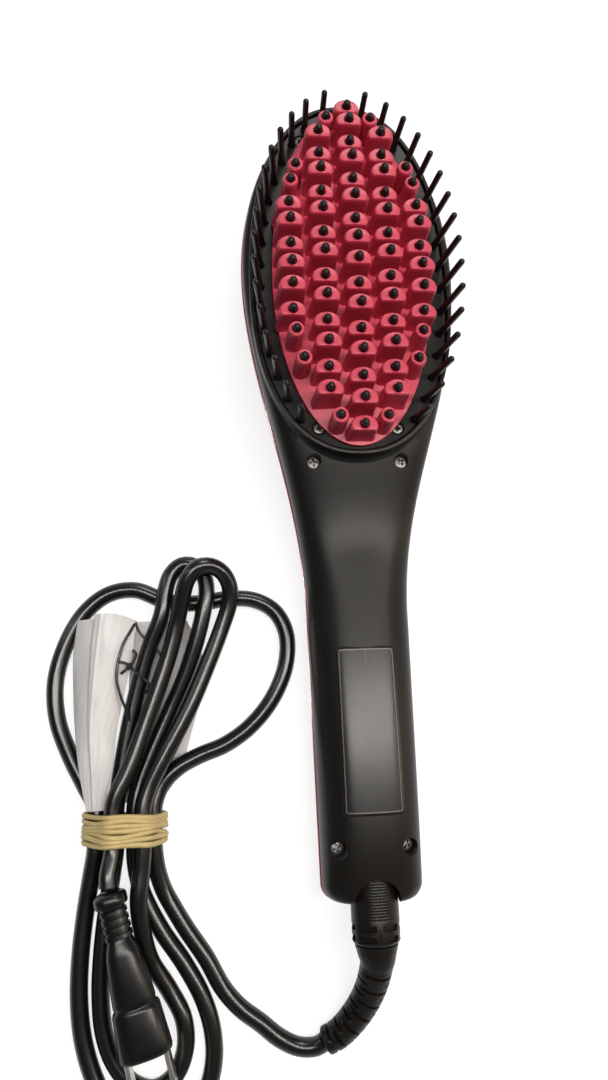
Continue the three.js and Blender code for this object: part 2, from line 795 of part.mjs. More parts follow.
function heater(side) {
  const half = heaterWidth / 2;
  const x = side * heaterX;
  return box(x - half, x + half, heaterStartY, heaterEndY, carrierTop + clearance, plateBottom - clearance);
}

function carrierPlate() {
  const disc = extrude(oval(plateOval, -rimOverlap, ovalSegments), carrierBottom, carrierTop);
  const tools = plateScrews.map(({ x, y }) => hole(x, y, 0, 60, shankHoleRadius, 10));
  for (const { x, y } of ringScrews) {
    tools.push(hole(x, y, 0, 60, ringScrewTabRadius + clearance, 12));
  }
  [-1, 1].forEach((side) => tools.push(hole(side * heaterX, wireWellY, 0, 60, wireRadius + 1.1, 10)));
  return cut(disc, tools);
}

// A round tube along chosen points
function tube(points, radius, sides, steps) {
  const path = new THREE.CatmullRomCurve3(points.map((p) => new THREE.Vector3(...p)), false, "centripetal");
  const shape = new THREE.Shape();
  for (let i = 0; i < sides; i++) {
    const angle = (2 * Math.PI * i) / sides;
    const at = [radius * Math.cos(angle), radius * Math.sin(angle)];
    if (i === 0) {
      shape.moveTo(...at);
    } else {
      shape.lineTo(...at);
    }
  }
  return solid(new THREE.ExtrudeGeometry(shape, { steps, bevelEnabled: false, extrudePath: path }));
}

// A turned piece about the outlet's axis, from radii at places along Y
function turnedAlongY(profile, sides) {
  const points = profile.map(([radius, y]) => new THREE.Vector2(radius, y));
  const geometry = mergedPositions(new THREE.LatheGeometry(points, sides));
  geometry.translate(0, 0, collarAxisZ);
  return solid(facingOut(geometry));
}

function swivelCollar() {
  const flangeStart = collarInnerY + grooveWidth;
  const flangeEnd = flangeStart + collarFlangeWidth;
  const body = turnedAlongY(
    [
      [0, collarOuterY],
      [collarRadius - 0.8, collarOuterY],
      [collarRadius, collarOuterY + 1.2],
      [collarRadius, collarInnerY],
      [grooveRadius, collarInnerY],
      [grooveRadius, flangeStart],
      [collarFlangeRadius, flangeStart],
      [collarFlangeRadius, flangeEnd],
      [spindleRadius, flangeEnd],
      [spindleRadius, spindleEndY],
      [0, spindleEndY]
    ],
    20
  );
  return cut(body, collarSlots());
}

// Two rows of slots round the collar
function collarSlots() {
  const slots = [];
  for (const y of [collarOuterY + 2, collarOuterY + 5]) {
    for (let turn = 0; turn < slotsPerRow; turn++) {
      const slot = new THREE.BoxGeometry(slotLength, slotWidth, 2 * slotDepth);
      slot.translate(0, 0, collarRadius);
      slot.rotateY((2 * Math.PI * (turn + 0.5)) / slotsPerRow);
      slot.translate(0, y, collarAxisZ);
      slots.push(solid(slot));
    }
  }
  return slots;
}

function slipRing(y) {
  const half = slipRingWidth / 2;
  const ring = cylinderAlongY(0, collarAxisZ, y - half, y + half, slipRingRadius, 16);
  return ring.subtract(boreAlongY(0, collarAxisZ, y - half - 1, y + half + 1, spindleRadius + clearance, 16));
}

const blockTop = 8.2;

function contactFinger(y) {
  const tip = collarAxisZ - slipRingRadius - clearance;
  return box(-1.5, 1.5, y - 0.9, y + 0.9, blockTop + clearance, tip);
}

function contactBlock() {
  const start = slipRingYs[0] - 3;
  const end = slipRingYs[1] + 3;
  const block = box(-7, 7, start, end, 0, blockTop);
  return block.subtract(floorBlock(start, end));
}

// What lies below the inner face of the back shell, with a gap over it
function floorBlock(start, end) {
  const below = box(-30, 30, start - 1, end + 1, -30, 30);
  return below.subtract(housingSolid(wall + clearance, 7));
}

// Route of the mains cord from the strain relief to the plug, as it lies in the hank
const leadRoute = [
  [-17.35, -191.37, 4.92], [-19.9, -192.78, 4.2], [-25.6, -192.8, 3.4], [-32, -189.8, 3.2],
  [-38.5, -184.6, 3.2], [-45, -179.7, 3.2], [-50.5, -173.5, 3.2], [-56.2, -163.5, 3.2],
  [-62.4, -154.6, 3.2], [-65.7, -149.4, 3.2], [-68.3, -145, 3.2]
];
const hankRoute = [
  [-68.54, -144.6, 3.2], [-70.2, -141.4, 3.4], [-72.2, -135.4, 4.1], [-73.4, -127.2, 4.9],
  [-73.4, -120.4, 4.9], [-73.4, -113.6, 4.9], [-70.9, -107, 4.4], [-65, -101.2, 4.3],
  [-57.6, -97.5, 3.6], [-48.6, -94.2, 3.2], [-39.5, -88.2, 3.2], [-31.2, -78.6, 3.2],
  [-25.9, -66.5, 3.2], [-25.4, -55, 3.2], [-29.4, -46.8, 3.2], [-36.8, -42.4, 3.2], [-46.6, -41.6, 3.2],
  [-57, -43, 3.2], [-68.3, -42.4, 3.2], [-80.7, -37.6, 3.2], [-90.2, -39, 3.2], [-98.4, -45.4, 3.2],
  [-105, -57, 3.2], [-108.3, -70.4, 3.2], [-107.2, -83.4, 3.2], [-102.9, -95, 3.2], [-97.2, -106, 3.8],
  [-93.1, -113.6, 4.9], [-93.1, -120.4, 4.9], [-93.1, -127.2, 4.9], [-94.4, -135, 3.9],
  [-96.3, -147, 3.2], [-97.6, -160, 3.2], [-97.8, -173.5, 3.2], [-96.2, -186, 3.2],
  [-92.3, -197.7, 3.2], [-86.2, -208, 3.2], [-79, -214.6, 3.2], [-70.8, -216.2, 3.2],
  [-62.6, -211.9, 3.2], [-56.6, -204, 3.2], [-54, -195, 3.2], [-54.3, -185.9, 3.2], [-57.3, -176, 3.2],
  [-63.4, -165, 3.2], [-71.1, -154, 3.2], [-77.4, -142, 3.4], [-79.6, -133, 4.1], [-79.9, -127.2, 4.9],
  [-79.9, -120.4, 4.9], [-79.9, -113.6, 4.9], [-78.4, -106.5, 4.6], [-75, -97.6, 4.6],
  [-67.8, -81.6, 5.2], [-62.7, -70.4, 6.6], [-58, -56.6, 8.6], [-55.4, -46, 9.7], [-54.4, -39.4, 9.9],
  [-55.4, -33.8, 9.9], [-58.8, -30.2, 9.9], [-63.4, -29.9, 9.9], [-67.2, -33.4, 9.9],
  [-69.2, -39.6, 9.9], [-70.6, -48, 9.6], [-75.3, -60, 7.6], [-79.3, -74, 6], [-82.4, -88, 5.1],
  [-85, -103, 4.6], [-86.4, -113.6, 4.9], [-86.4, -120.4, 4.9], [-86.4, -127.2, 4.9],
  [-87.6, -136, 3.8], [-89.3, -147, 3.2], [-90.6, -160, 3.2], [-90.9, -172.5, 3.2], [-89.6, -184, 3.2],
  [-86, -193.2, 3.2], [-80.3, -199.6, 3.2], [-73.4, -201.9, 3.2], [-66.9, -198.5, 3.2],
  [-63.3, -190.8, 3.2], [-63.8, -181.6, 3.2], [-68.6, -172.4, 3.2], [-74.4, -163, 4.8],
  [-76.9, -153.6, 7.7], [-78, -143, 10.4], [-77.1, -134, 10.4], [-76.65, -127.2, 10.53],
  [-76.65, -120.4, 10.53], [-76.65, -113.6, 10.53], [-74.8, -107.4, 10.2], [-70.3, -98.4, 10.3],
  [-61, -81.2, 10.1], [-54.9, -67.4, 9.8], [-49.2, -53.2, 10], [-46.3, -44.6, 11], [-46.1, -38.6, 12.6],
  [-48.4, -34, 14.6], [-52.6, -31.6, 16.4], [-57.4, -32.2, 17.4], [-61, -36.4, 16.6],
  [-63, -42.6, 14.6], [-64.7, -50, 11.9], [-67.4, -60.6, 10.5], [-70.8, -71, 10.1], [-76.8, -88, 10.2],
  [-81.6, -101, 11], [-85.4, -109, 11.5], [-86.6, -113.6, 11.45], [-86.6, -120.4, 11.45],
  [-86.6, -127.2, 11.45], [-87.2, -131, 12.3], [-87.75, -134.8, 13.1], [-87.6, -137.9, 13.3]
];

// Least gap between stretches of the cord that pass each other
function leastSelfGap(points, diameter) {
  const path = new THREE.CatmullRomCurve3(points.map((p) => new THREE.Vector3(...p)), false, "centripetal");
  const length = path.getLength();
  const samples = path.getSpacedPoints(Math.round(length / 3));
  const step = length / (samples.length - 1);
  const apart = Math.ceil((4 * diameter) / step);
  let leastGap = Infinity;
  for (let i = 0; i < samples.length; i++) {
    for (let j = i + apart; j < samples.length; j++) {
      leastGap = Math.min(leastGap, samples[i].distanceTo(samples[j]) - diameter);
    }
  }
  return { length, gap: leastGap };
}

// Ribbed, bent strain relief between the collar and the lead
const reliefRoute = [
  [0, -159.6, 16.5], [0, -161.6, 16.5], [0, -164.4, 16.1], [-0.5, -167.8, 14.8], [-1.7, -173, 12.4],
  [-4.3, -178.9, 9.9], [-8.4, -184.6, 7.9], [-12.7, -188.8, 6.2], [-17.05, -191.2, 5]
];
const reliefRadii = [7.2, 5.4, 5.6, 4.6];
const reliefRibs = 9;

function strainRelief() {
  const path = new THREE.CatmullRomCurve3(reliefRoute.map((p) => new THREE.Vector3(...p)), false, "centripetal");
  const stationsList = [[0, reliefRadii[0]], [0.08, reliefRadii[0] - 0.4], [0.17, reliefRadii[1]]];
  for (let rib = 0; rib < reliefRibs; rib++) {
    const start = 0.22 + (0.76 * rib) / reliefRibs;
    const pitch = 0.76 / reliefRibs;
    const full = reliefRadii[2] + (reliefRadii[3] - reliefRadii[2]) * start;
    stationsList.push([start, full - 0.7], [start + 0.3 * pitch, full], [start + 0.75 * pitch, full]);
  }
  stationsList.push([0.985, reliefRadii[3] - 0.4], [1, reliefRadii[3] - 0.8]);
  const frames = path.computeFrenetFrames(200, false);
  const rings = stationsList.map(([share, radius]) => {
    const centre = path.getPointAt(share);
    const frame = Math.round(share * 200);
    const ring = [];
    for (let i = 0; i < 8; i++) {
      const angle = (2 * Math.PI * i) / 8;
      const point = centre.clone();
      point.addScaledVector(frames.normals[frame], radius * Math.cos(angle));
      point.addScaledVector(frames.binormals[frame], radius * Math.sin(angle));
      ring.push(point);
    }
    return ring;
  });
  return loft(rings);
}

// A rounded outline round a set of hull points, in X and Z
function roundedHull(corners, radius, arcSteps) {
  const outline = [];
  corners.forEach(([x, z], i) => {
    const before = corners[(i + corners.length - 1) % corners.length];
    const after = corners[(i + 1) % corners.length];
    const start = Math.atan2(z - before[1], x - before[0]) - Math.PI / 2;
    let end = Math.atan2(after[1] - z, after[0] - x) - Math.PI / 2;
    if (end < start) {
      end += 2 * Math.PI;
    }
    for (let k = 0; k <= arcSteps; k++) {
      const angle = start + ((end - start) * k) / arcSteps;
      outline.push(new THREE.Vector2(x + radius * Math.cos(angle), z + radius * Math.sin(angle)));
    }
  });
  return outline;
}

// Rubber band round the six strands of the hank
function tieBand() {
  const outerStrands = [[-93.1, 4.9], [-73.4, 4.9], [-76.65, 10.53], [-86.6, 11.45]];
  const inner = cordDiameter / 2 + bandClearance;
  const place = (outline, y0, y1) => {
    const geometry = new THREE.ExtrudeGeometry(new THREE.Shape(outline), { depth: y1 - y0, bevelEnabled: false });
    geometry.rotateX(Math.PI / 2);
    geometry.translate(0, y1, 0);
    return solid(geometry);
  };
  const band = place(roundedHull(outerStrands, inner + bandThickness, 6), bandStartY + 0.3, bandEndY - 0.3);
  return band.subtract(place(roundedHull(outerStrands, inner, 6), bandStartY - 1, bandEndY + 1));
}

// A bent leaf of paper: rows given by place, half width, height of the edges, rise of the middle and tilt
function leaf(rows, thickness, across) {
  const positions = [];
  const index = [];
  const width = across + 1;
  const layer = rows.length * width;
  for (const lift of [thickness, 0]) {
    for (const { y, x, half, z, rise, tilt = 0 } of rows) {
      for (let i = 0; i <= across; i++) {
        const share = (2 * i) / across - 1;
        positions.push(x + half * share, y, z + rise * (1 - share * share) + tilt * share + lift);
      }
    }
  }
  const quad = (a, b, c, d) => index.push(a, b, c, a, c, d);
  for (let r = 0; r + 1 < rows.length; r++) {
    for (let i = 0; i < across; i++) {
      const at = r * width + i;
      quad(at, at + 1, at + 1 + width, at + width);
      quad(layer + at, layer + at + width, layer + at + 1 + width, layer + at + 1);
    }
    for (const [i, flip] of [[0, false], [across, true]]) {
      const at = r * width + i;
      const side = [at, at + width, layer + at + width, layer + at];
      quad(...(flip ? side.reverse() : side));
    }
  }
  for (const [r, flip] of [[0, true], [rows.length - 1, false]]) {
    for (let i = 0; i < across; i++) {
      const at = r * width + i;
      const side = [at, at + 1, layer + at + 1, layer + at];
      quad(...(flip ? side.reverse() : side));
    }
  }
  const geometry = new THREE.BufferGeometry();
  geometry.setAttribute("position", new THREE.Float32BufferAttribute(positions, 3));
  geometry.setIndex(index);
  return solid(facingOut(geometry));
}

const tagRows = [
  { y: -47.5, x: -90, half: 10.4, z: 8.2, rise: 4.5, tilt: 1.2 },
  { y: -60, x: -91.2, half: 10.6, z: 7, rise: 5, tilt: 1.2 },
  { y: -75, x: -92.6, half: 9, z: 6.4, rise: 5, tilt: 1 },
  { y: -88, x: -93.3, half: 7.2, z: 7, rise: 4.2, tilt: 0.6 },
  { y: -100, x: -92.9, half: 5.8, z: 8.6, rise: 2.4 },
  { y: -112.4, x: -93, half: 2.9, z: 8.4, rise: 1 }
];
const tagBackRows = [
  { y: -49, x: -71, half: 9, z: 0.1, rise: 0 },
  { y: -62, x: -70, half: 12.5, z: 0.1, rise: 0 },
  { y: -78, x: -70.5, half: 12.8, z: 0.1, rise: 0 },
  { y: -95, x: -74, half: 9.5, z: 0.1, rise: 0 },
  { y: -111.5, x: -77.5, half: 7.6, z: 0.1, rise: 0 }
];

// Plug: flange, waist, body and face along its own axis, then two flat blades
const plugTail = new THREE.Vector3(-87.5, -138.9, 13.3);
const plugFace = new THREE.Vector3(-74.9, -188.6, 12.1);

function plugMatrix() {
  const forward = plugFace.clone().sub(plugTail).normalize();
  const right = new THREE.Vector3(0, 0, 1).cross(forward).normalize();
  const up = forward.clone().cross(right);
  return new THREE.Matrix4().makeBasis(right, up, forward).setPosition(plugTail);
}

function plugBody() {
  const length = plugTail.distanceTo(plugFace);
  const rows = [
    [0, 3.3, 3.3], [1.6, 5.4, 5.4], [4.6, 5.4, 5.4], [5.4, 4, 4], [16, 4.4, 4.2], [20, 5.6, 5], [34, 6.9, 5.5],
    [36.5, 7.6, 5.7], [length - 1.2, 8.6, 5.7], [length, 8, 5.2]
  ];
  const rings = rows.map(([along, halfX, halfY]) => {
    const ring = [];
    for (let i = 0; i < 16; i++) {
      const angle = (2 * Math.PI * i) / 16;
      const x = halfX * signedPower(Math.cos(angle), 0.8);
      const y = halfY * signedPower(Math.sin(angle), 0.8);
      ring.push(new THREE.Vector3(x, y, along).applyMatrix4(plugMatrix()));
    }
    return ring;
  });
  return loft(rings);
}

function plugBlade(side) {
  const length = plugTail.distanceTo(plugFace);
  const geometry = new THREE.BoxGeometry(1.5, 6.3, plugBladeLength);
  geometry.translate((side * plugBladeSpacing) / 2, 0, length + clearance + plugBladeLength / 2);
  geometry.applyMatrix4(plugMatrix());
  return solid(geometry);
}

// Housing
addPart("back_shell", backShell(), glossPink);
addPart("front_cover", frontCover(), softBlack);

// Head
const pegs = pegPlaces();
addPart("bristle_ring", bristleRing(), ringBlack);
addPart("heating_plate", heatingPlate(pegs), platePink);
addPart("tip_comb", tipComb(pegs), ringBlack);
addPart("heater_left", heater(-1), ceramicWhite);
addPart("heater_right", heater(1), ceramicWhite);
addPart("carrier_plate", carrierPlate(), ceramicWhite);
addPart("thermal_fuse", cylinderAlongY(0, carrierBottom - clearance - 2, 54, 66, 2, 12), steel);
addPart("thermistor", box(-1.2, 1.2, 92, 96, carrierBottom - clearance - 1.6, carrierBottom - clearance), glassBlack);
for (const { name, x, y } of ringScrews) {
  addPart(name, screw(x, y, ringTop, 6.5, ringScrewHeadHeight), steel);
}
for (const { name, x, y } of plateScrews) {
  const head = post(x, y, carrierBottom - clearance - 1.4, carrierBottom - clearance, screwHeadRadius, 12);
  const shank = post(x, y, carrierBottom - clearance - 0.4, plateBottom + 2, screwShankRadius, 10);
  addPart(name, head.add(shank), steel);
}

// Controls
for (const button of buttons) {
  addPart(`button_${button.name}`, buttonCap(button), softBlack);
  addPart(`switch_${button.name}`, tactSwitch(button), steel);
}
addPart("control_board", controlBoard(), boardGreen);
addPart("display_window", displayWindow(), glassBlack);
addPart("display_module", displayModule(), ceramicWhite);
const boardTop = boardBottom + boardThickness;
addPart("power_relay", box(-9, 9, -22, -9, boardTop + clearance, boardTop + clearance + 5.4), wireBlue);
addPart("filter_capacitor", cylinderAlongY(5.5, boardTop + clearance + 4, -1, 9, 4, 16), glassBlack);

// Screws that hold the shells and the board
for (const { side, x, y } of neckScrews) {
  addPart(side < 0 ? "neck_screw_left" : "neck_screw_right", screw(x, y, neckScrewTop, 15), steel);
}
for (const { side, x, y } of handleScrews) {
  addPart(side < 0 ? "handle_screw_left" : "handle_screw_right", screw(x, y, handleScrewTop, 11.5), steel);
}
for (const { side, x, y } of boardScrews) {
  const name = side < 0 ? "board_screw_left" : "board_screw_right";
  addPart(name, screw(x, y, boardTop + clearance + screwHeadHeight, 7), steel);
}

// Swivel outlet
addPart("swivel_collar", swivelCollar(), softBlack);
["live", "neutral"].forEach((pole, i) => {
  addPart(`slip_ring_${pole}`, slipRing(slipRingYs[i]), brass);
  addPart(`contact_finger_${pole}`, contactFinger(slipRingYs[i]), brass);
});
addPart("contact_block", contactBlock(), ceramicWhite);

// Wiring inside the housing
[["live", -1, wireRed], ["neutral", 1, wireBlue]].forEach(([pole, side, colour]) => {
  const blockEnd = slipRingYs[1] + 3;
  const mains = [
    [side * 4, blockEnd + clearance, 6], [side * 4.5, -108, 5], [side * 6, -80, 4.4], [side * 6, -55, 6],
    [side * 6, -40, 10.5], [side * 6, -32, 15.5], [side * 6, boardStartY - clearance, boardBottom + boardThickness / 2]
  ];
  addPart(`mains_wire_${pole}`, tube(mains, wireRadius, 6, 14), colour);
  const x = side * heaterX;
  const feed = [
    [x, heaterStartY - clearance, carrierTop + 1.4], [x, heaterStartY - 2.4, carrierTop + 1.1],
    [x, wireWellY, carrierTop - 0.6], [x, wireWellY, carrierBottom - 1.5], [x, wireWellY + 3, 26],
    [x, wireWellY + 8, 21], [x, wireWellY + 8.5, boardTop + clearance]
  ];
  addPart(`heater_wire_${pole}`, tube(feed, wireRadius, 6, 14), colour);
});

// Cord, its relief, band, tag and plug
addPart("strain_relief", strainRelief(), softBlack);
addPart("cord_lead", tube(leadRoute, cordDiameter / 2, 6, 12), ringBlack);
addPart("cord_hank", tube(hankRoute, cordDiameter / 2, 6, 130), ringBlack);
addPart("tie_band", tieBand(), rubberTan);
addPart("tag", leaf(tagRows, 1, 8), paperWhite);
addPart("tag_back", leaf(tagBackRows, 0.8, 4), paperWhite);
addPart("plug_body", plugBody(), softBlack);
addPart("plug_blade_left", plugBlade(-1), steel);
addPart("plug_blade_right", plugBlade(1), steel);

const cord = leastSelfGap([...leadRoute, ...hankRoute], cordDiameter);
console.log(`cord length ${cord.length.toFixed(0)} mm, least gap to itself ${cord.gap.toFixed(2)} mm`);

// The origin is under the middle of the brush without its cord
brush.position.y = -(headCentreY + tipLength + collarOuterY) / 2;

export default brush;
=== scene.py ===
"""Hair straightening brush with a banded cord: the visual model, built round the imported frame."""
import math

import bmesh
import bpy
from mathutils import Matrix, Vector

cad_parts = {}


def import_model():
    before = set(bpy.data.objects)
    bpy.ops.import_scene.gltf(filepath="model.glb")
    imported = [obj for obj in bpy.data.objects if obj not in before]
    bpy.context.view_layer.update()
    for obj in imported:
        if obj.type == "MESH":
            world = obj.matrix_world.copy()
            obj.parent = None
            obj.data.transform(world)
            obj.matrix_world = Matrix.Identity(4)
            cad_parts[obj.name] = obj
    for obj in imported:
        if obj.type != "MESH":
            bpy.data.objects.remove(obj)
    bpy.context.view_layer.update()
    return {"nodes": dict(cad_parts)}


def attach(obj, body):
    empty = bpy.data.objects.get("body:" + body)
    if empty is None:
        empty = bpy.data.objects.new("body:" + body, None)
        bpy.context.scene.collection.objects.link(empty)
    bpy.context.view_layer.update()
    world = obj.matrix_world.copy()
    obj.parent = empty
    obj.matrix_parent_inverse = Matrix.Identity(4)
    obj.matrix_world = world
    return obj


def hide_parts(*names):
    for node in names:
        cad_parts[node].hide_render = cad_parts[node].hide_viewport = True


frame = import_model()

# Sizes are millimetres in the drawing's frame, and a place moves forward along Y into the model's frame
MM = 0.001
FORWARD = 6.65
MERGE = 2e-6
CLEARANCE = 0.3


def clamp01(t):
    return min(1.0, max(0.0, t))


def ease(t):
    return 0.5 - 0.5 * math.cos(math.pi * clamp01(t))


def metres(point, local=False):
    x, y, z = point
    return Vector((x * MM, (y if local else y + FORWARD) * MM, z * MM))


# Camera

CAMERA_PLACE = (-49.8, -86.6, 299.7)
CAMERA_RIGHT = (0.9942, -0.0388, 0.1002)
CAMERA_UP = (0.0157, 0.9750, 0.2218)
SENSOR_WIDTH = 36.0
FOCAL_LENGTH = 26.667
NEAREST = 0.01


def place_camera():
    right = Vector(CAMERA_RIGHT)
    back = right.cross(Vector(CAMERA_UP)).normalized()
    up = back.cross(right)
    data = bpy.data.cameras.new("camera")
    data.sensor_width = SENSOR_WIDTH
    data.lens = FOCAL_LENGTH
    data.clip_start = NEAREST
    camera = bpy.data.objects.new("camera", data)
    place = Matrix((right.normalized(), up.normalized(), back)).transposed().to_4x4()
    place.translation = metres(CAMERA_PLACE)
    camera.matrix_world = place
    bpy.context.scene.collection.objects.link(camera)
    bpy.context.scene.camera = camera


place_camera()


# Shader groups


def new_group(name, inputs, outputs):
    """A shader node group with float inputs and outputs, and its input and output nodes."""
    tree = bpy.data.node_groups.new(name, "ShaderNodeTree")
    for label, default in inputs:
        socket = tree.interface.new_socket(label, in_out="INPUT", socket_type="NodeSocketFloat")
        socket.default_value = default
    for label in outputs:
        tree.interface.new_socket(label, in_out="OUTPUT", socket_type="NodeSocketFloat")
    return tree, tree.nodes.new("NodeGroupInput"), tree.nodes.new("NodeGroupOutput")


def noise(tree, scale, detail, coordinates):
    node = tree.nodes.new("ShaderNodeTexNoise")
    node.inputs["Detail"].default_value = detail
    tree.links.new(coordinates, node.inputs["Vector"])
    if isinstance(scale, bpy.types.NodeSocket):
        tree.links.new(scale, node.inputs["Scale"])
    else:
        node.inputs["Scale"].default_value = scale
    return node.outputs["Fac"]


def stretched(tree, coordinates, along_y, turn=0.0):
    """Coordinates that draw a pattern out along Y, turned about Z."""
    node = tree.nodes.new("ShaderNodeMapping")
    node.inputs["Rotation"].default_value = (0.0, 0.0, turn)
    node.inputs["Scale"].default_value = (1.0, along_y, 1.0)
    tree.links.new(coordinates, node.inputs["Vector"])
    return node.outputs["Vector"]


def moulded_group():
    """Mould texture: fine grain, broad cloudiness and faint scuffs, from Object coordinates."""
    scuff_scale = 420.0
    tree, given, result = new_group(
        "moulded_surface", [("Grain Scale", 2500.0), ("Cloud Scale", 30.0)], ["Grain", "Cloud", "Scuff"]
    )
    at = tree.nodes.new("ShaderNodeTexCoord").outputs["Object"]
    tree.links.new(noise(tree, given.outputs["Grain Scale"], 3.0, at), result.inputs["Grain"])
    tree.links.new(noise(tree, given.outputs["Cloud Scale"], 4.0, at), result.inputs["Cloud"])
    sharp = tree.nodes.new("ShaderNodeMapRange")
    sharp.inputs["From Min"].default_value = 0.62
    sharp.inputs["From Max"].default_value = 0.72
    streaks = stretched(tree, at, along_y=0.12, turn=0.5)
    tree.links.new(noise(tree, scuff_scale, 6.0, streaks), sharp.inputs["Value"])
    tree.links.new(sharp.outputs["Result"], result.inputs["Scuff"])
    return tree


def machined_group():
    """Machined metal: fine streaks across X and a soft cloudiness."""
    cloud_scale = 160.0
    tree, given, result = new_group("machined_surface", [("Streak Scale", 900.0)], ["Streak", "Cloud"])
    at = tree.nodes.new("ShaderNodeTexCoord").outputs["Object"]
    streaks = stretched(tree, at, along_y=0.06)
    tree.links.new(noise(tree, given.outputs["Streak Scale"], 3.0, streaks), result.inputs["Streak"])
    tree.links.new(noise(tree, cloud_scale, 3.0, at), result.inputs["Cloud"])
    return tree


MOULDED = moulded_group()
MACHINED = machined_group()


def use_group(material, group, values):
    node = material.node_tree.nodes.new("ShaderNodeGroup")
    node.node_tree = group
    for label, value in values.items():
        node.inputs[label].default_value = value
    return node


def spread(tree, value, low, high):
    """Maps a value from 0 to 1 on to the range from low to high."""
    node = tree.nodes.new("ShaderNodeMapRange")
    node.inputs["To Min"].default_value = low
    node.inputs["To Max"].default_value = high
    tree.links.new(value, node.inputs["Value"])
    return node.outputs["Result"]


def tint(tree, factor, first, second):
    node = tree.nodes.new("ShaderNodeMix")
    node.data_type = "RGBA"
    node.inputs["A"].default_value = (*first, 1.0)
    node.inputs["B"].default_value = (*second, 1.0)
    tree.links.new(factor, node.inputs["Factor"])
    return node.outputs["Result"]


def bump(tree, height, strength, distance, shader):
    node = tree.nodes.new("ShaderNodeBump")
    node.inputs["Strength"].default_value = strength
    node.inputs["Distance"].default_value = distance
    tree.links.new(height, node.inputs["Height"])
    tree.links.new(node.outputs["Normal"], shader.inputs["Normal"])


def new_material(name):
    material = bpy.data.materials.new(name)
    material.use_nodes = True
    return material, material.node_tree, material.node_tree.nodes["Principled BSDF"]


GRAIN_HEIGHT = 0.0002
STREAK_HEIGHT = 0.0001
SCUFF_SHARE = 0.35
COAT_ROUGHNESS = 0.05


def plastic(name, colour, shade, roughness, *, grain=2500.0, relief=0.1, coat=0.0, specular=0.5, cloud=30.0):
    """A moulded finish: colour varies towards shade, roughness between two values, and a fine mould grain."""
    material, tree, shader = new_material(name)
    surface = use_group(material, MOULDED, {"Grain Scale": grain, "Cloud Scale": cloud})
    tree.links.new(tint(tree, surface.outputs["Cloud"], colour, shade), shader.inputs["Base Color"])
    worn = tree.nodes.new("ShaderNodeMath")
    worn.operation = "ADD"
    worn.use_clamp = True
    tree.links.new(surface.outputs["Cloud"], worn.inputs[0])
    tree.links.new(spread(tree, surface.outputs["Scuff"], 0.0, SCUFF_SHARE), worn.inputs[1])
    tree.links.new(spread(tree, worn.outputs["Value"], *roughness), shader.inputs["Roughness"])
    bump(tree, surface.outputs["Grain"], relief, GRAIN_HEIGHT, shader)
    shader.inputs["Coat Weight"].default_value = coat
    shader.inputs["Coat Roughness"].default_value = COAT_ROUGHNESS
    shader.inputs["Specular IOR Level"].default_value = specular
    return material


def metal(name, colour, shade, roughness, *, streak=900.0, relief=0.08):
    material, tree, shader = new_material(name)
    surface = use_group(material, MACHINED, {"Streak Scale": streak})
    tree.links.new(tint(tree, surface.outputs["Cloud"], colour, shade), shader.inputs["Base Color"])
    tree.links.new(spread(tree, surface.outputs["Streak"], *roughness), shader.inputs["Roughness"])
    bump(tree, surface.outputs["Streak"], relief, STREAK_HEIGHT, shader)
    shader.inputs["Metallic"].default_value = 1.0
    return material


FINISH = {
    "soft_black": plastic(
        "soft_touch_black", (0.0075, 0.0062, 0.0052), (0.0052, 0.0043, 0.0036), (0.32, 0.39),
        grain=3800.0, relief=0.05, specular=0.21,
    ),
    "ring_black": plastic(
        "ring_black", (0.0085, 0.0078, 0.0076), (0.0055, 0.0050, 0.0050), (0.30, 0.40),
        grain=2200.0, relief=0.06, specular=0.25,
    ),
    "gloss_pink": plastic(
        "shell_gloss_pink", (0.52, 0.036, 0.098), (0.46, 0.030, 0.084), (0.12, 0.20),
        grain=900.0, relief=0.02, coat=0.6, specular=0.4,
    ),
    "plate_pink": plastic(
        "plate_satin_pink", (0.50, 0.036, 0.074), (0.45, 0.030, 0.062), (0.36, 0.46),
        grain=2600.0, relief=0.05, coat=0.08,
    ),
    "steel": metal("bright_steel", (0.52, 0.51, 0.50), (0.38, 0.38, 0.37), (0.22, 0.40)),
    "brass": metal("contact_brass", (0.72, 0.52, 0.20), (0.60, 0.42, 0.15), (0.2, 0.4)),
    "board_green": plastic(
        "board_green", (0.03, 0.17, 0.06), (0.02, 0.12, 0.045), (0.3, 0.45), grain=1500.0, relief=0.05
    ),
    "ceramic": plastic(
        "mica_white", (0.72, 0.69, 0.62), (0.62, 0.58, 0.50), (0.5, 0.7), grain=1800.0, relief=0.15
    ),
    "dark_gloss": plastic(
        "dark_glass", (0.010, 0.010, 0.012), (0.006, 0.006, 0.007), (0.04, 0.09),
        grain=600.0, relief=0.0, coat=1.0,
    ),
    "relay_blue": plastic(
        "relay_blue", (0.03, 0.12, 0.40), (0.02, 0.09, 0.32), (0.3, 0.5), grain=1500.0, relief=0.08
    ),
    "wire_red": plastic(
        "wire_red", (0.42, 0.025, 0.022), (0.34, 0.02, 0.018), (0.35, 0.5), grain=1500.0, relief=0.05
    ),
    "cord_black": plastic(
        "cord_rubber", (0.0042, 0.0042, 0.0042), (0.0028, 0.0028, 0.0028), (0.20, 0.29),
        grain=1400.0, relief=0.05,
    ),
    "band_tan": plastic(
        "rubber_band_tan", (0.53, 0.42, 0.19), (0.40, 0.30, 0.11), (0.36, 0.58),
        grain=1100.0, relief=0.25, cloud=260.0,
    ),
    "paper_white": plastic(
        "sleeve_white", (0.61, 0.595, 0.585), (0.51, 0.498, 0.51), (0.24, 0.38),
        grain=700.0, relief=0.14, coat=0.05, specular=0.22, cloud=90.0,
    ),
}


# Mesh building


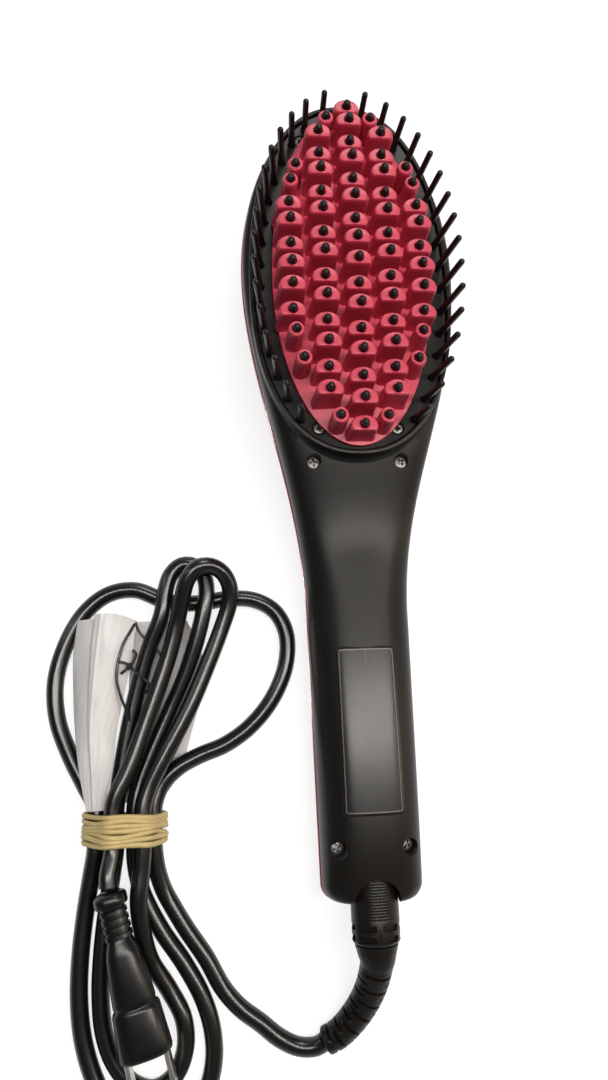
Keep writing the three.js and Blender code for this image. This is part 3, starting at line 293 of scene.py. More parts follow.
def link(name, mesh):
    obj = bpy.data.objects.new(name, mesh)
    bpy.context.scene.collection.objects.link(obj)
    return obj


def clean(mesh):
    """Merges doubles and turns the faces outwards."""
    work = bmesh.new()
    work.from_mesh(mesh)
    bmesh.ops.remove_doubles(work, verts=work.verts, dist=MERGE)
    bmesh.ops.dissolve_degenerate(work, edges=work.edges, dist=MERGE)
    bmesh.ops.recalc_face_normals(work, faces=work.faces)
    work.to_mesh(mesh)
    work.free()


def build(name, solids, local=False):
    """One object from solids given in millimetres, as (points, faces) pairs."""
    points, faces = [], []
    for solid_points, solid_faces in solids:
        base = len(points)
        points += [metres(p, local) for p in solid_points]
        faces += [[base + i for i in face] for face in solid_faces]
    mesh = bpy.data.meshes.new(name)
    mesh.from_pydata(points, [], faces)
    clean(mesh)
    return link(name, mesh)


def skin(rings, ends=True, closed=False):
    """A skin over rings of equal length; ends caps them, closed joins the last ring to the first."""
    count = len(rings[0])
    points = [p for ring in rings for p in ring]
    faces = []
    for r in range(len(rings) if closed else len(rings) - 1):
        here = r * count
        there = ((r + 1) % len(rings)) * count
        for i in range(count):
            j = (i + 1) % count
            faces.append((here + i, here + j, there + j, there + i))
    if ends and not closed:
        faces.append(tuple(reversed(range(count))))
        faces.append(tuple((len(rings) - 1) * count + i for i in range(count)))
    return points, faces


def sheet(upper, lower, width):
    """A closed sheet between two grids of points with so many points to a row."""
    count = len(upper)
    rows = count // width - 1
    last = width - 1
    faces = []
    for i in range(rows):
        for j in range(last):
            a = i * width + j
            faces.append((a, a + 1, a + width + 1, a + width))
            faces.append((count + a, count + a + width, count + a + width + 1, count + a + 1))
    rim = list(range(last)) + [i * width + last for i in range(rows)]
    rim += [rows * width + j for j in range(last, 0, -1)] + [i * width for i in range(rows, 0, -1)]
    for a, b in zip(rim, rim[1:] + rim[:1]):
        faces.append((a, count + a, count + b, b))
    return upper + lower, faces


def circle(count):
    return [(math.cos(math.tau * i / count), math.sin(math.tau * i / count)) for i in range(count)]


def turned(profile, sides, centre=(0.0, 0.0), closed=False):
    """A solid of revolution about an axis along Z, from (radius, height) places."""
    cx, cy = centre
    rings = [[(cx + r * c, cy + r * s, z) for c, s in circle(sides)] for r, z in profile]
    return skin(rings, ends=not closed, closed=closed)


def turned_along_y(profile, sides, z):
    """A solid of revolution about an axis along Y at a height, from (radius, place) pairs."""
    points, faces = turned(profile, sides)
    return [(x, place, z - y) for x, y, place in points], faces


def prism(outline, low, high):
    return skin([[(x, y, low) for x, y in outline], [(x, y, high) for x, y in outline]])


def block(x0, x1, y0, y1, z0, z1):
    return prism([(x0, y0), (x1, y0), (x1, y1), (x0, y1)], z0, z1)


def result_mesh(obj):
    """The object's mesh with its modifiers applied, as a new mesh."""
    graph = bpy.context.evaluated_depsgraph_get()
    evaluated = obj.evaluated_get(graph)
    return bpy.data.meshes.new_from_object(evaluated, preserve_all_data_layers=True, depsgraph=graph)


def carve(obj, tool, operation="DIFFERENCE"):
    """Cuts the tool from the object, joins it on, or keeps what they share, and uses the tool up."""
    modifier = obj.modifiers.new("carve", "BOOLEAN")
    modifier.operation = operation
    modifier.solver = "EXACT"
    modifier.object = tool
    mesh = result_mesh(obj)
    obj.modifiers.clear()
    obj.data = mesh
    bpy.data.objects.remove(tool)
    return obj


def join_pieces(name, objects):
    """One mesh object from several."""
    work = bmesh.new()
    for obj in objects:
        work.from_mesh(obj.data)
        bpy.data.objects.remove(obj)
    mesh = bpy.data.meshes.new(name)
    work.to_mesh(mesh)
    work.free()
    return link(name, mesh)


def piece(obj, slot, nodes=(), body="brush", sharp=38.0, material=None):
    """Finishes a piece: its material, its shading, the CAD nodes that it stands for, and its body."""
    mesh = obj.data
    mesh.materials.clear()
    mesh.materials.append(material or FINISH[slot])
    mesh.shade_smooth()
    mesh.set_sharp_from_angle(angle=math.radians(sharp))
    if nodes:
        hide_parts(*nodes)
    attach(obj, body)
    return obj


# Geometry Nodes

UP = (0.0, 0.0, 1.0)


def nodes_tree(name, inputs):
    tree = bpy.data.node_groups.new(name, "GeometryNodeTree")
    tree.interface.new_socket("Geometry", in_out="INPUT", socket_type="NodeSocketGeometry")
    for label, kind, default in inputs:
        socket = tree.interface.new_socket(label, in_out="INPUT", socket_type=kind)
        if default is not None:
            socket.default_value = default
    tree.interface.new_socket("Material", in_out="INPUT", socket_type="NodeSocketMaterial")
    tree.interface.new_socket("Geometry", in_out="OUTPUT", socket_type="NodeSocketGeometry")
    return tree, tree.nodes.new("NodeGroupInput"), tree.nodes.new("NodeGroupOutput")


def attribute(tree, name, kind):
    node = tree.nodes.new("GeometryNodeInputNamedAttribute")
    node.data_type = kind
    node.inputs["Name"].default_value = name
    return node.outputs["Attribute"]


def end_tree(tree, geometry, given, result):
    real = tree.nodes.new("GeometryNodeRealizeInstances")
    paint = tree.nodes.new("GeometryNodeSetMaterial")
    tree.links.new(geometry, real.inputs[0])
    tree.links.new(real.outputs[0], paint.inputs["Geometry"])
    tree.links.new(given.outputs["Material"], paint.inputs["Material"])
    tree.links.new(paint.outputs["Geometry"], result.inputs["Geometry"])
    return tree


def rods_tree():
    """Round rods along lines of edges, as thick at each point as its girth says."""
    tree, given, result = nodes_tree(
        "rods_along_lines", [("Sides", "NodeSocketInt", 12), ("Thickness", "NodeSocketFloat", 1.0)]
    )
    curve = tree.nodes.new("GeometryNodeMeshToCurve")
    profile = tree.nodes.new("GeometryNodeCurvePrimitiveCircle")
    sweep = tree.nodes.new("GeometryNodeCurveToMesh")
    girth = tree.nodes.new("ShaderNodeMath")
    girth.operation = "MULTIPLY"
    tree.links.new(attribute(tree, "girth", "FLOAT"), girth.inputs[0])
    tree.links.new(given.outputs["Thickness"], girth.inputs[1])
    tree.links.new(given.outputs["Geometry"], curve.inputs["Mesh"])
    tree.links.new(given.outputs["Sides"], profile.inputs["Resolution"])
    profile.inputs["Radius"].default_value = 1.0
    tree.links.new(curve.outputs["Curve"], sweep.inputs["Curve"])
    tree.links.new(profile.outputs["Curve"], sweep.inputs["Profile Curve"])
    tree.links.new(girth.outputs["Value"], sweep.inputs["Scale"])
    sweep.inputs["Fill Caps"].default_value = True
    return end_tree(tree, sweep.outputs["Mesh"], given, result)


def copies_tree():
    """Copies of a shape on points, each turned to face along its point's direction."""
    tree, given, result = nodes_tree(
        "copies_on_points", [("Shape", "NodeSocketObject", None), ("Size", "NodeSocketFloat", 1.0)]
    )
    shape = tree.nodes.new("GeometryNodeObjectInfo")
    face = tree.nodes.new("FunctionNodeAlignRotationToVector")
    turn = tree.nodes.new("FunctionNodeAxisAngleToRotation")
    spin = tree.nodes.new("FunctionNodeRotateRotation")
    place = tree.nodes.new("GeometryNodeInstanceOnPoints")
    face.axis = "Z"
    spin.rotation_space = "LOCAL"
    turn.inputs["Axis"].default_value = UP
    tree.links.new(given.outputs["Shape"], shape.inputs["Object"])
    tree.links.new(attribute(tree, "facing", "FLOAT_VECTOR"), face.inputs["Vector"])
    tree.links.new(attribute(tree, "turn", "FLOAT"), turn.inputs["Angle"])
    tree.links.new(face.outputs["Rotation"], spin.inputs["Rotation"])
    tree.links.new(turn.outputs["Rotation"], spin.inputs["Rotate By"])
    tree.links.new(given.outputs["Geometry"], place.inputs["Points"])
    tree.links.new(shape.outputs["Geometry"], place.inputs["Instance"])
    tree.links.new(spin.outputs["Rotation"], place.inputs["Rotation"])
    tree.links.new(given.outputs["Size"], place.inputs["Scale"])
    return end_tree(tree, place.outputs["Instances"], given, result)


RODS = rods_tree()
COPIES = copies_tree()


def grow(name, source, tree, values):
    """Runs a tree on a source object, and returns its result as a plain mesh object."""
    modifier = source.modifiers.new("grow", "NODES")
    modifier.node_group = tree
    for item in tree.interface.items_tree:
        if item.in_out == "INPUT" and item.name in values:
            modifier[item.identifier] = values[item.name]
    mesh = result_mesh(source)
    mesh.name = name
    clean(mesh)
    bpy.data.objects.remove(source)
    return link(name, mesh)


def rods(name, lines, sides, material, closed=False):
    """Rods along lines of (point, girth) pairs in millimetres."""
    points, girths, edges = [], [], []
    for line in lines:
        base = len(points)
        points += [metres(p) for p, _ in line]
        girths += [g * MM for _, g in line]
        edges += [(base + i, base + i + 1) for i in range(len(line) - 1)]
        if closed:
            edges.append((base + len(line) - 1, base))
    mesh = bpy.data.meshes.new(name)
    mesh.from_pydata(points, edges, [])
    mesh.attributes.new("girth", "FLOAT", "POINT").data.foreach_set("value", girths)
    return grow(name, link(name + "_lines", mesh), RODS, {"Sides": sides, "Material": material})


def copies(name, places, shape, material):
    """Copies of a shape on (point, direction, turn) places, and the shape used up."""
    mesh = bpy.data.meshes.new(name)
    mesh.from_pydata([metres(p) for p, _, _ in places], [], [])
    facing = [c for _, direction, _ in places for c in direction]
    mesh.attributes.new("facing", "FLOAT_VECTOR", "POINT").data.foreach_set("vector", facing)
    mesh.attributes.new("turn", "FLOAT", "POINT").data.foreach_set("value", [turn for _, _, turn in places])
    obj = grow(name, link(name + "_points", mesh), COPIES, {"Shape": shape, "Material": material})
    bpy.data.objects.remove(shape)
    return obj


# Cord

LEAD = [
    (-17.35, -191.37, 4.92), (-19.9, -192.78, 4.2), (-25.6, -192.8, 3.4), (-32, -189.8, 3.2),
    (-38.5, -184.6, 3.2), (-45, -179.7, 3.2), (-50.5, -173.5, 3.2), (-56.2, -163.5, 3.2),
    (-62.4, -154.6, 3.2), (-65.7, -149.4, 3.2), (-68.3, -145, 3.2),
]
HANK = [
    (-68.54, -144.6, 3.2), (-70.2, -141.4, 3.4), (-72.2, -135.4, 4.1), (-73.4, -127.2, 4.9),
    (-73.4, -120.4, 4.9), (-73.4, -113.6, 4.9), (-70.9, -107, 4.4), (-65, -101.2, 4.3),
    (-57.6, -97.5, 3.6), (-48.6, -94.2, 3.2), (-39.5, -88.2, 3.2), (-31.2, -78.6, 3.2),
    (-25.9, -66.5, 3.2), (-25.4, -55, 3.2), (-29.4, -46.8, 3.2), (-36.8, -42.4, 3.2), (-46.6, -41.6, 3.2),
    (-57, -43, 3.2), (-68.3, -42.4, 3.2), (-80.7, -37.6, 3.2), (-90.2, -39, 3.2), (-98.4, -45.4, 3.2),
    (-105, -57, 3.2), (-108.3, -70.4, 3.2), (-107.2, -83.4, 3.2), (-102.9, -95, 3.2), (-97.2, -106, 3.8),
    (-93.1, -113.6, 4.9), (-93.1, -120.4, 4.9), (-93.1, -127.2, 4.9), (-94.4, -135, 3.9),
    (-96.3, -147, 3.2), (-97.6, -160, 3.2), (-97.8, -173.5, 3.2), (-96.2, -186, 3.2),
    (-92.3, -197.7, 3.2), (-86.2, -208, 3.2), (-79, -214.6, 3.2), (-70.8, -216.2, 3.2),
    (-62.6, -211.9, 3.2), (-56.6, -204, 3.2), (-54, -195, 3.2), (-54.3, -185.9, 3.2), (-57.3, -176, 3.2),
    (-63.4, -165, 3.2), (-71.1, -154, 3.2), (-77.4, -142, 3.4), (-79.6, -133, 4.1), (-79.9, -127.2, 4.9),
    (-79.9, -120.4, 4.9), (-79.9, -113.6, 4.9), (-78.4, -106.5, 4.6), (-75, -97.6, 4.6),
    (-67.8, -81.6, 5.2), (-62.7, -70.4, 6.6), (-58, -56.6, 8.6), (-55.4, -46, 9.7), (-54.4, -39.4, 9.9),
    (-55.4, -33.8, 9.9), (-58.8, -30.2, 9.9), (-63.4, -29.9, 9.9), (-67.2, -33.4, 9.9),
    (-69.2, -39.6, 9.9), (-70.6, -48, 9.6), (-75.3, -60, 7.6), (-79.3, -74, 6), (-82.4, -88, 5.1),
    (-85, -103, 4.6), (-86.4, -113.6, 4.9), (-86.4, -120.4, 4.9), (-86.4, -127.2, 4.9),
    (-87.6, -136, 3.8), (-89.3, -147, 3.2), (-90.6, -160, 3.2), (-90.9, -172.5, 3.2), (-89.6, -184, 3.2),
    (-86, -193.2, 3.2), (-80.3, -199.6, 3.2), (-73.4, -201.9, 3.2), (-66.9, -198.5, 3.2),
    (-63.3, -190.8, 3.2), (-63.8, -181.6, 3.2), (-68.6, -172.4, 3.2), (-74.4, -163, 4.8),
    (-76.9, -153.6, 7.7), (-78, -143, 10.4), (-77.1, -134, 10.4), (-76.65, -127.2, 10.53),
    (-76.65, -120.4, 10.53), (-76.65, -113.6, 10.53), (-74.8, -107.4, 10.2), (-70.3, -98.4, 10.3),
    (-61, -81.2, 10.1), (-54.9, -67.4, 9.8), (-49.2, -53.2, 10), (-46.3, -44.6, 11), (-46.1, -38.6, 12.6),
    (-48.4, -34, 14.6), (-52.6, -31.6, 16.4), (-57.4, -32.2, 17.4), (-61, -36.4, 16.6),
    (-63, -42.6, 14.6), (-64.7, -50, 11.9), (-67.4, -60.6, 10.5), (-70.8, -71, 10.1), (-76.8, -88, 10.2),
    (-81.6, -101, 11), (-85.4, -109, 11.5), (-86.6, -113.6, 11.45), (-86.6, -120.4, 11.45),
    (-86.6, -127.2, 11.45), (-87.2, -131, 12.3), (-87.75, -134.8, 13.1), (-87.6, -137.9, 13.3),
]
RELIEF = [
    (0, -159.6, 16.5), (0, -161.6, 16.5), (0, -164.4, 16.1), (-0.5, -167.8, 14.8), (-1.7, -173, 12.4),
    (-4.3, -178.9, 9.9), (-8.4, -184.6, 7.9), (-12.7, -188.8, 6.2), (-17.05, -191.2, 5),
]
CORD_RADIUS = 3.0
CORD_STEP = 1.5
CORD_SIDES = 20


def smooth_route(points, step):
    """Points close together on the centripetal curve through the given ones, as the CAD's tubes follow."""
    points = [Vector(p) for p in points]
    points = [2 * points[0] - points[1], *points, 2 * points[-1] - points[-2]]
    dense = []
    for a, b, c, d in zip(points, points[1:], points[2:], points[3:]):
        t1 = math.sqrt((b - a).length)
        t2 = t1 + math.sqrt((c - b).length)
        t3 = t2 + math.sqrt((d - c).length)
        count = max(2, round((c - b).length / step))
        for k in range(count):
            t = t1 + (t2 - t1) * k / count
            ab = a.lerp(b, t / t1)
            bc = b.lerp(c, (t - t1) / (t2 - t1))
            cd = c.lerp(d, (t - t2) / (t3 - t2))
            abc = ab.lerp(bc, t / t2)
            bcd = bc.lerp(cd, (t - t1) / (t3 - t1))
            dense.append(abc.lerp(bcd, (t - t1) / (t2 - t1)))
    dense.append(points[-2])
    return dense


def path_frames(points):
    """A point, its share of the length, and two directions across the path, without twist."""
    lengths = running_lengths(points)
    across = None
    frames = []
    for i, point in enumerate(points):
        ahead = (points[min(i + 1, len(points) - 1)] - points[max(i - 1, 0)]).normalized()
        if across is None:
            across = ahead.cross(Vector(UP)).normalized()
        across = (across - ahead * across.dot(ahead)).normalized()
        frames.append((point, lengths[i] / lengths[-1], across, across.cross(ahead)))
    return frames


def running_lengths(points):
    """How far each point lies along the line through all of them."""
    lengths = [0.0]
    for a, b in zip(points, points[1:]):
        lengths.append(lengths[-1] + math.dist(a, b))
    return lengths


def tube(points, sides, radius_at):
    """A closed tube whose radius depends on the share of its length and the angle round it."""
    rings = []
    for point, share, across, over in path_frames(points):
        ring = []
        for i in range(sides):
            angle = math.tau * i / sides
            radius = radius_at(share, angle)
            ring.append(tuple(point + across * radius * math.cos(angle) + over * radius * math.sin(angle)))
        rings.append(ring)
    return skin(rings)


cord_path = smooth_route(LEAD + HANK, CORD_STEP)
cord = rods("mains_cord", [[(p, CORD_RADIUS) for p in cord_path]], CORD_SIDES, FINISH["cord_black"])
piece(cord, "cord_black", ("cord_lead", "cord_hank"))


# Strain relief

RELIEF_STEP = 0.22
RELIEF_SIDES = 56
RELIEF_RIBS = 12
RIBS_START, RIBS_SHARE = 0.2, 0.78
SHOULDER_RADIUS, WAIST_RADIUS, TAIL_RADIUS = 7.2, 5.5, 4.5
SHOULDER_SHARE = 0.16
TAIL_SHARE, TAIL_ROUND = 0.985, 0.9
SLIT_SHARE, SLIT_DEPTH = 0.30, 1.3
BRIDGE_EDGE, BRIDGE_FADE = 0.87, 0.06


def relief_radius(share, angle):
    """Shoulder, then ribs parted by slits that bridge at opposite sides in turn."""
    if share < SHOULDER_SHARE:
        full = SHOULDER_RADIUS - (SHOULDER_RADIUS - WAIST_RADIUS) * share / SHOULDER_SHARE
    else:
        full = WAIST_RADIUS - (WAIST_RADIUS - TAIL_RADIUS) * (share - SHOULDER_SHARE) / (1 - SHOULDER_SHARE)
    if share > TAIL_SHARE:
        return full - TAIL_ROUND * (share - TAIL_SHARE) / (1 - TAIL_SHARE)
    place = (share - RIBS_START) / RIBS_SHARE * RELIEF_RIBS
    if place < 0 or place > RELIEF_RIBS:
        return full
    rib = int(place)
    within = place - rib
    quarter = 0.5 * math.pi if rib % 2 else 0.0
    bridge = abs(math.cos(angle + quarter))
    if within >= SLIT_SHARE or bridge >= BRIDGE_EDGE:
        return full
    fade = min(1.0, (BRIDGE_EDGE - bridge) / BRIDGE_FADE)
    return full - SLIT_DEPTH * math.sin(math.pi * within / SLIT_SHARE) ** 0.5 * fade


strain_relief = build("relief_boot", [tube(smooth_route(RELIEF, RELIEF_STEP), RELIEF_SIDES, relief_radius)])
piece(strain_relief, "soft_black", ("strain_relief",), sharp=50)


# Rubber band: turns laid side by side round the hank's outer strands, crossing a little

BAND_STRANDS = [(-93.1, 4.9), (-73.4, 4.9), (-76.65, 10.53), (-86.6, 11.45)]
BAND_TURNS = 7
BAND_Y = -124.7
BAND_STEP = 1.42
BAND_GIRTH = 0.9
BAND_POINTS = 120
BAND_SIDES = 10
CORNER_STEPS = 16
TABLE_GAP = 0.02


def hull_outline(corners, radius, count):
    """Evenly spaced points on the rounded outline at a distance from a convex set of corners."""
    outline = []
    for i, (x, z) in enumerate(corners):
        before, after = corners[i - 1], corners[(i + 1) % len(corners)]
        start = math.atan2(z - before[1], x - before[0]) - math.pi / 2
        end = math.atan2(after[1] - z, after[0] - x) - math.pi / 2
        if end < start:
            end += math.tau
        for k in range(CORNER_STEPS + 1):
            angle = start + (end - start) * k / CORNER_STEPS
            outline.append((x + radius * math.cos(angle), z + radius * math.sin(angle)))
    outline.append(outline[0])
    lengths = running_lengths(outline)
    spaced = []
    k = 0
    for i in range(count):
        target = lengths[-1] * i / count
        while lengths[k + 1] < target:
            k += 1
        share = (target - lengths[k]) / max(1e-9, lengths[k + 1] - lengths[k])
        spaced.append(tuple(a + (b - a) * share for a, b in zip(outline[k], outline[k + 1])))
    return spaced


def band_turn(turn):
    """One turn as a line of points with girths, wavering and twisting in its own way."""
    line = []
    stack = 0.84 + 0.16 * (turn % 2)
    for i, (x, z) in enumerate(hull_outline(BAND_STRANDS, CORD_RADIUS + stack, BAND_POINTS)):
        angle = math.tau * i / BAND_POINTS
        wave = 0.45 * math.sin(angle * (1 + turn % 3) + 1.3 * turn) + 0.28 * math.sin(3 * angle + turn)
        girth = BAND_GIRTH + 0.1 * math.sin(2 * angle + 2.1 * turn)
        line.append(((x, BAND_Y + BAND_STEP * turn + wave, max(z, girth + TABLE_GAP)), girth))
    return line


band_lines = [band_turn(turn) for turn in range(BAND_TURNS)]
band = rods("rubber_band", band_lines, BAND_SIDES, FINISH["band_tan"], closed=True)
piece(band, "band_tan", ("tie_band",), sharp=60)


# Plug

PLUG_TAIL = Vector((-87.5, -138.9, 13.3))
PLUG_FACE = Vector((-74.9, -188.6, 12.1))
PLUG_LENGTH = (PLUG_FACE - PLUG_TAIL).length
PLUG_SIDES = 48
PLUG_SQUARENESS = 0.78
PLUG_RIBS = 4
FIRST_RIB = 5.6
RIB_PITCH = 2.5
BLADE_SPACING = 12.7
BLADE_LENGTH = 17.0
BLADE_ROOT = 0.3
BLADE_BEVEL = 0.18
BLADE_HOLE_RADIUS = 1.6
BLADE_HOLE_SETBACK = 4.2

# Rows of the plug's body: place along it, half width and half height
PLUG_TAIL_ROWS = [
    (0.2, 3.2, 3.2), (0.7, 4.3, 4.2), (1.3, 5.1, 5.0), (1.8, 5.35, 5.3), (4.0, 5.4, 5.35), (4.5, 5.2, 5.1),
    (4.7, 4.1, 4.1),
]
PLUG_RIB_ROWS = [(0.0, 4.0, 4.0), (0.25, 4.45, 4.3), (1.55, 4.5, 4.35), (1.8, 4.0, 4.0)]
PLUG_GRIP_ROWS = [
    (16.0, 4.3, 4.2), (17.6, 5.0, 4.7), (20.0, 5.6, 5.0), (27.0, 6.35, 5.3), (34.0, 6.9, 5.5),
    (35.0, 6.85, 5.4), (35.4, 6.6, 5.2), (35.9, 6.7, 5.25), (36.4, 7.4, 5.55), (37.2, 7.75, 5.7),
    (48.0, 8.45, 5.7),
    (PLUG_LENGTH - 1.2, 8.55, 5.7), (PLUG_LENGTH - 0.4, 8.35, 5.5), (PLUG_LENGTH, 7.8, 5.0),
]


def plug_place(points):
    """Carries points given across, over and along the plug to their place."""
    ahead = (PLUG_FACE - PLUG_TAIL).normalized()
    right = Vector(UP).cross(ahead).normalized()
    over = ahead.cross(right)
    return [tuple(PLUG_TAIL + right * x + over * y + ahead * z) for x, y, z in points]


def plug_rows():
    rows = list(PLUG_TAIL_ROWS)
    for rib in range(PLUG_RIBS):
        start = FIRST_RIB + RIB_PITCH * rib
        rows += [(start + along, half_x, half_y) for along, half_x, half_y in PLUG_RIB_ROWS]
    return rows + PLUG_GRIP_ROWS


def plug_solid(rows):
    """The plug's body over its rows, each a rounded rectangle."""
    rings = []
    for along, half_x, half_y in rows:
        ring = []
        for c, s in circle(PLUG_SIDES):
            x = half_x * math.copysign(abs(c) ** PLUG_SQUARENESS, c)
            y = half_y * math.copysign(abs(s) ** PLUG_SQUARENESS, s)
            ring.append((x, y, along))
        rings.append(plug_place(ring))
    return skin(rings)


plug = build("plug_sheath", [plug_solid(plug_rows())])
plug_black = plastic(
    "plug_black", (0.0036, 0.0036, 0.0037), (0.0025, 0.0025, 0.0026), (0.24, 0.32),
    grain=1600.0, relief=0.05, specular=0.34,
)
piece(plug, "cord_black", ("plug_body",), sharp=42, material=plug_black)


def plug_blade(centre, start, end):
    """A flat blade with bevelled edges and a tapered tip."""
    rings = []
    for along, wide, thick in (
        (start, 3.15, 0.75), (end - 2.2, 3.15, 0.75), (end - 0.9, 2.9, 0.62), (end - 0.3, 2.4, 0.35)
    ):
        flat = thick - BLADE_BEVEL
        side = wide - BLADE_BEVEL
        corners = [
            (flat, wide), (thick, side), (thick, -side), (flat, -wide),
            (-flat, -wide), (-thick, -side), (-thick, side), (-flat, wide),
        ]
        rings.append(plug_place([(centre + x, y, along) for x, y in corners]))
    return skin(rings)


def blade_piece(name, side, node):
    """A blade with the round hole through its tip."""
    start = PLUG_LENGTH - BLADE_ROOT
    end = start + 2 * BLADE_ROOT + BLADE_LENGTH
    centre = side * BLADE_SPACING / 2
    blade = build(name, [plug_blade(centre, start, end)])
    hole = []
    for x in (-2.0, 2.0):
        ring = []
        for c, s in circle(20):
            ring.append((centre + x, BLADE_HOLE_RADIUS * s, end - BLADE_HOLE_SETBACK + BLADE_HOLE_RADIUS * c))
        hole.append(plug_place(ring))
    carve(blade, build("blade_hole", [skin(hole)]))
    return piece(blade, "steel", (node,))


blade_left = blade_piece("blade_left", -1, "plug_blade_left")
blade_right = blade_piece("blade_right", 1, "plug_blade_right")


# Tag

LEAF_THICKNESS = 0.3

# Rows of each leaf: y, x, half width, edge height, rise of the middle and tilt
TAG_FRONT = [
    (-47.5, -90, 10.4, 8.2, 4.5, 1.2), (-60, -91.2, 10.6, 7, 5, 1.2), (-75, -92.6, 9, 6.4, 5, 1),
    (-88, -93.3, 7.2, 7, 4.2, 0.6), (-100, -92.9, 5.8, 8.6, 2.4, 0), (-114.2, -93, 2.9, 8.1, 0.7, 0),
]
TAG_BACK = [
    (-49, -71, 9, 0.15, 0, 0), (-62, -69.4, 12.9, 0.15, 0, 0), (-76, -70, 13, 0.15, 0, 0),
    (-90, -71.8, 11.1, 0.15, 0, 0), (-103, -75, 10.4, 0.15, 0, 0), (-112.6, -78.6, 7.2, 0.15, 0, 0),
]


def between(rows, t):
    """A smooth curve through rows of numbers, at a share from 0 to 1 of the way."""
    place = min(t * (len(rows) - 1), len(rows) - 1 - 1e-6)
    i = int(place)
    f = place - i
    a, b = rows[max(i - 1, 0)], rows[i]
    c, d = rows[i + 1], rows[min(i + 2, len(rows) - 1)]
    values = []
    for p, q, r, s in zip(a, b, c, d):
        values.append(q + 0.5 * f * (r - p + f * (2 * p - 5 * q + 4 * r - s + f * (3 * (q - r) + s - p))))
    return values


def flat_edge(along, share):
    return 0.0


def leaf(rows, along, across, surface, setback=flat_edge):
    """A thin closed leaf whose surface is raised and whose mouth is set back as the functions say."""
    top, bottom = [], []
    for i in range(along + 1):
        y, x, half, z, rise, tilt = between(rows, i / along)
        for j in range(across + 1):
            share = 2 * j / across - 1
            height = z + rise * (1 - share * share) + tilt * share + surface(i / along, share)
            back = y - setback(i / along, share)
            top.append((x + half * share, back, height + LEAF_THICKNESS))
            bottom.append((x + half * share, back, height))
    return sheet(top, bottom, across + 1)


def ridge(distance, width):
    """A smooth ridge, 1 high where the distance is none."""
    return math.exp(-(distance / width) ** 2)


def past_crease(along, share):
    """0 on the flat left part of the sleeve and 1 on the part that curls up over it."""
    return ease((share + 0.42 - 0.12 * along) / 0.09)


def front_folds(along, share):
    """The step at the crease, a sharp lengthwise fold, a dent and the crumple of the film."""
    step = 1.15 * past_crease(along, share) * (1 - along) ** 0.7
    fold = 0.42 * ridge(share + 0.12 + 0.10 * along, 0.05)
    dent = -0.30 * ridge(share - 0.30 + 0.2 * along, 0.10) * along
    crumple = 0.14 * math.sin(7 * along + 4 * share) + 0.10 * math.sin(19 * along - 9 * share)
    wrinkle = 0.07 * math.sin(31 * along + 13 * share) * math.sin(11 * share)
    return step + fold + dent + crumple * (1 - along) + wrinkle


def front_edge(along, share):
    """How far the sleeve's mouth stands back: more at the left flap, least at the curl's crest."""
    return (1 - along) ** 6 * (1.5 * (1 - past_crease(along, share)) + 2.2 * max(0.0, share) ** 2)


def back_waves(along, share):
    return 0.12 * (1 + math.sin(9 * along + 5 * share))


tag = build("tag_front", [leaf(TAG_FRONT, 84, 72, front_folds, front_edge)])
piece(tag, "paper_white", ("tag",), sharp=60)
tag_back = build("tag_rear", [leaf(TAG_BACK, 40, 24, back_waves)])
piece(tag_back, "paper_white", ("tag_back",), sharp=60)


# String of the tag: strands, and knots of three small loops each

STRINGS = [
    [
        (-79.9, -50.0, 9.2), (-80.4, -52.0, 11.2), (-83.6, -58.5, 13.0), (-85.4, -65.2, 13.2),
        (-85.7, -70.6, 12.9), (-84.5, -75.8, 12.1), (-82.9, -80.3, 10.9), (-81.6, -84.6, 9.4),
    ],
    [
        (-79.9, -50.0, 9.2), (-78.6, -53.6, 10.2), (-76.2, -56.3, 9.4), (-73.4, -58.6, 8.0),
        (-71.4, -61.2, 7.4), (-69.9, -64.8, 7.4), (-69.1, -68.6, 7.6), (-69.4, -73.5, 7.6),
    ],
    [
        (-85.2, -64.2, 13.8), (-82.4, -65.2, 13.5), (-79.6, -67.8, 12.2), (-77.0, -70.2, 10.8),
        (-74.2, -72.6, 9.6),
    ],
    [
        (-84.2, -68.6, 13.6), (-81.9, -66.8, 14.0), (-80.2, -64.6, 13.2), (-79.2, -61.8, 12.2),
        (-80.4, -60.4, 12.4),
    ],
    [(-76.4, -75.4, 10.0), (-74.2, -73.4, 10.6), (-72.4, -71.2, 9.4), (-71.6, -68.4, 8.6)],
]
STRING_RADIUS = 0.5
KNOTS = [(-81.4, -66.2, 13.7), (-74.2, -73.0, 10.1)]
KNOT_LOOPS = 3
KNOT_RADIUS = 0.95
KNOT_GIRTH = 0.45


def knot_loop(centre, turn):
    """A small tight loop round a knot's centre."""
    x, y, z = centre
    tilt = math.radians(60 * turn + 20)
    line = []
    for c, s in circle(14):
        across = KNOT_RADIUS * c
        over = 0.75 * KNOT_RADIUS * s
        line.append(((x + across * math.cos(tilt), y + across * math.sin(tilt), z + over), KNOT_GIRTH))
    return line


def tag_string():
    lines = [[(p, STRING_RADIUS) for p in smooth_route(line, 1.0)] for line in STRINGS]
    loops = [knot_loop(centre, turn) for centre in KNOTS for turn in range(KNOT_LOOPS)]
    knots = rods("knots", loops, 8, FINISH["cord_black"], closed=True)
    strands = rods("strands", lines, 10, FINISH["cord_black"])
    return join_pieces("tag_string", [strands, knots])


string = tag_string()
piece(string, "cord_black")


# Housing

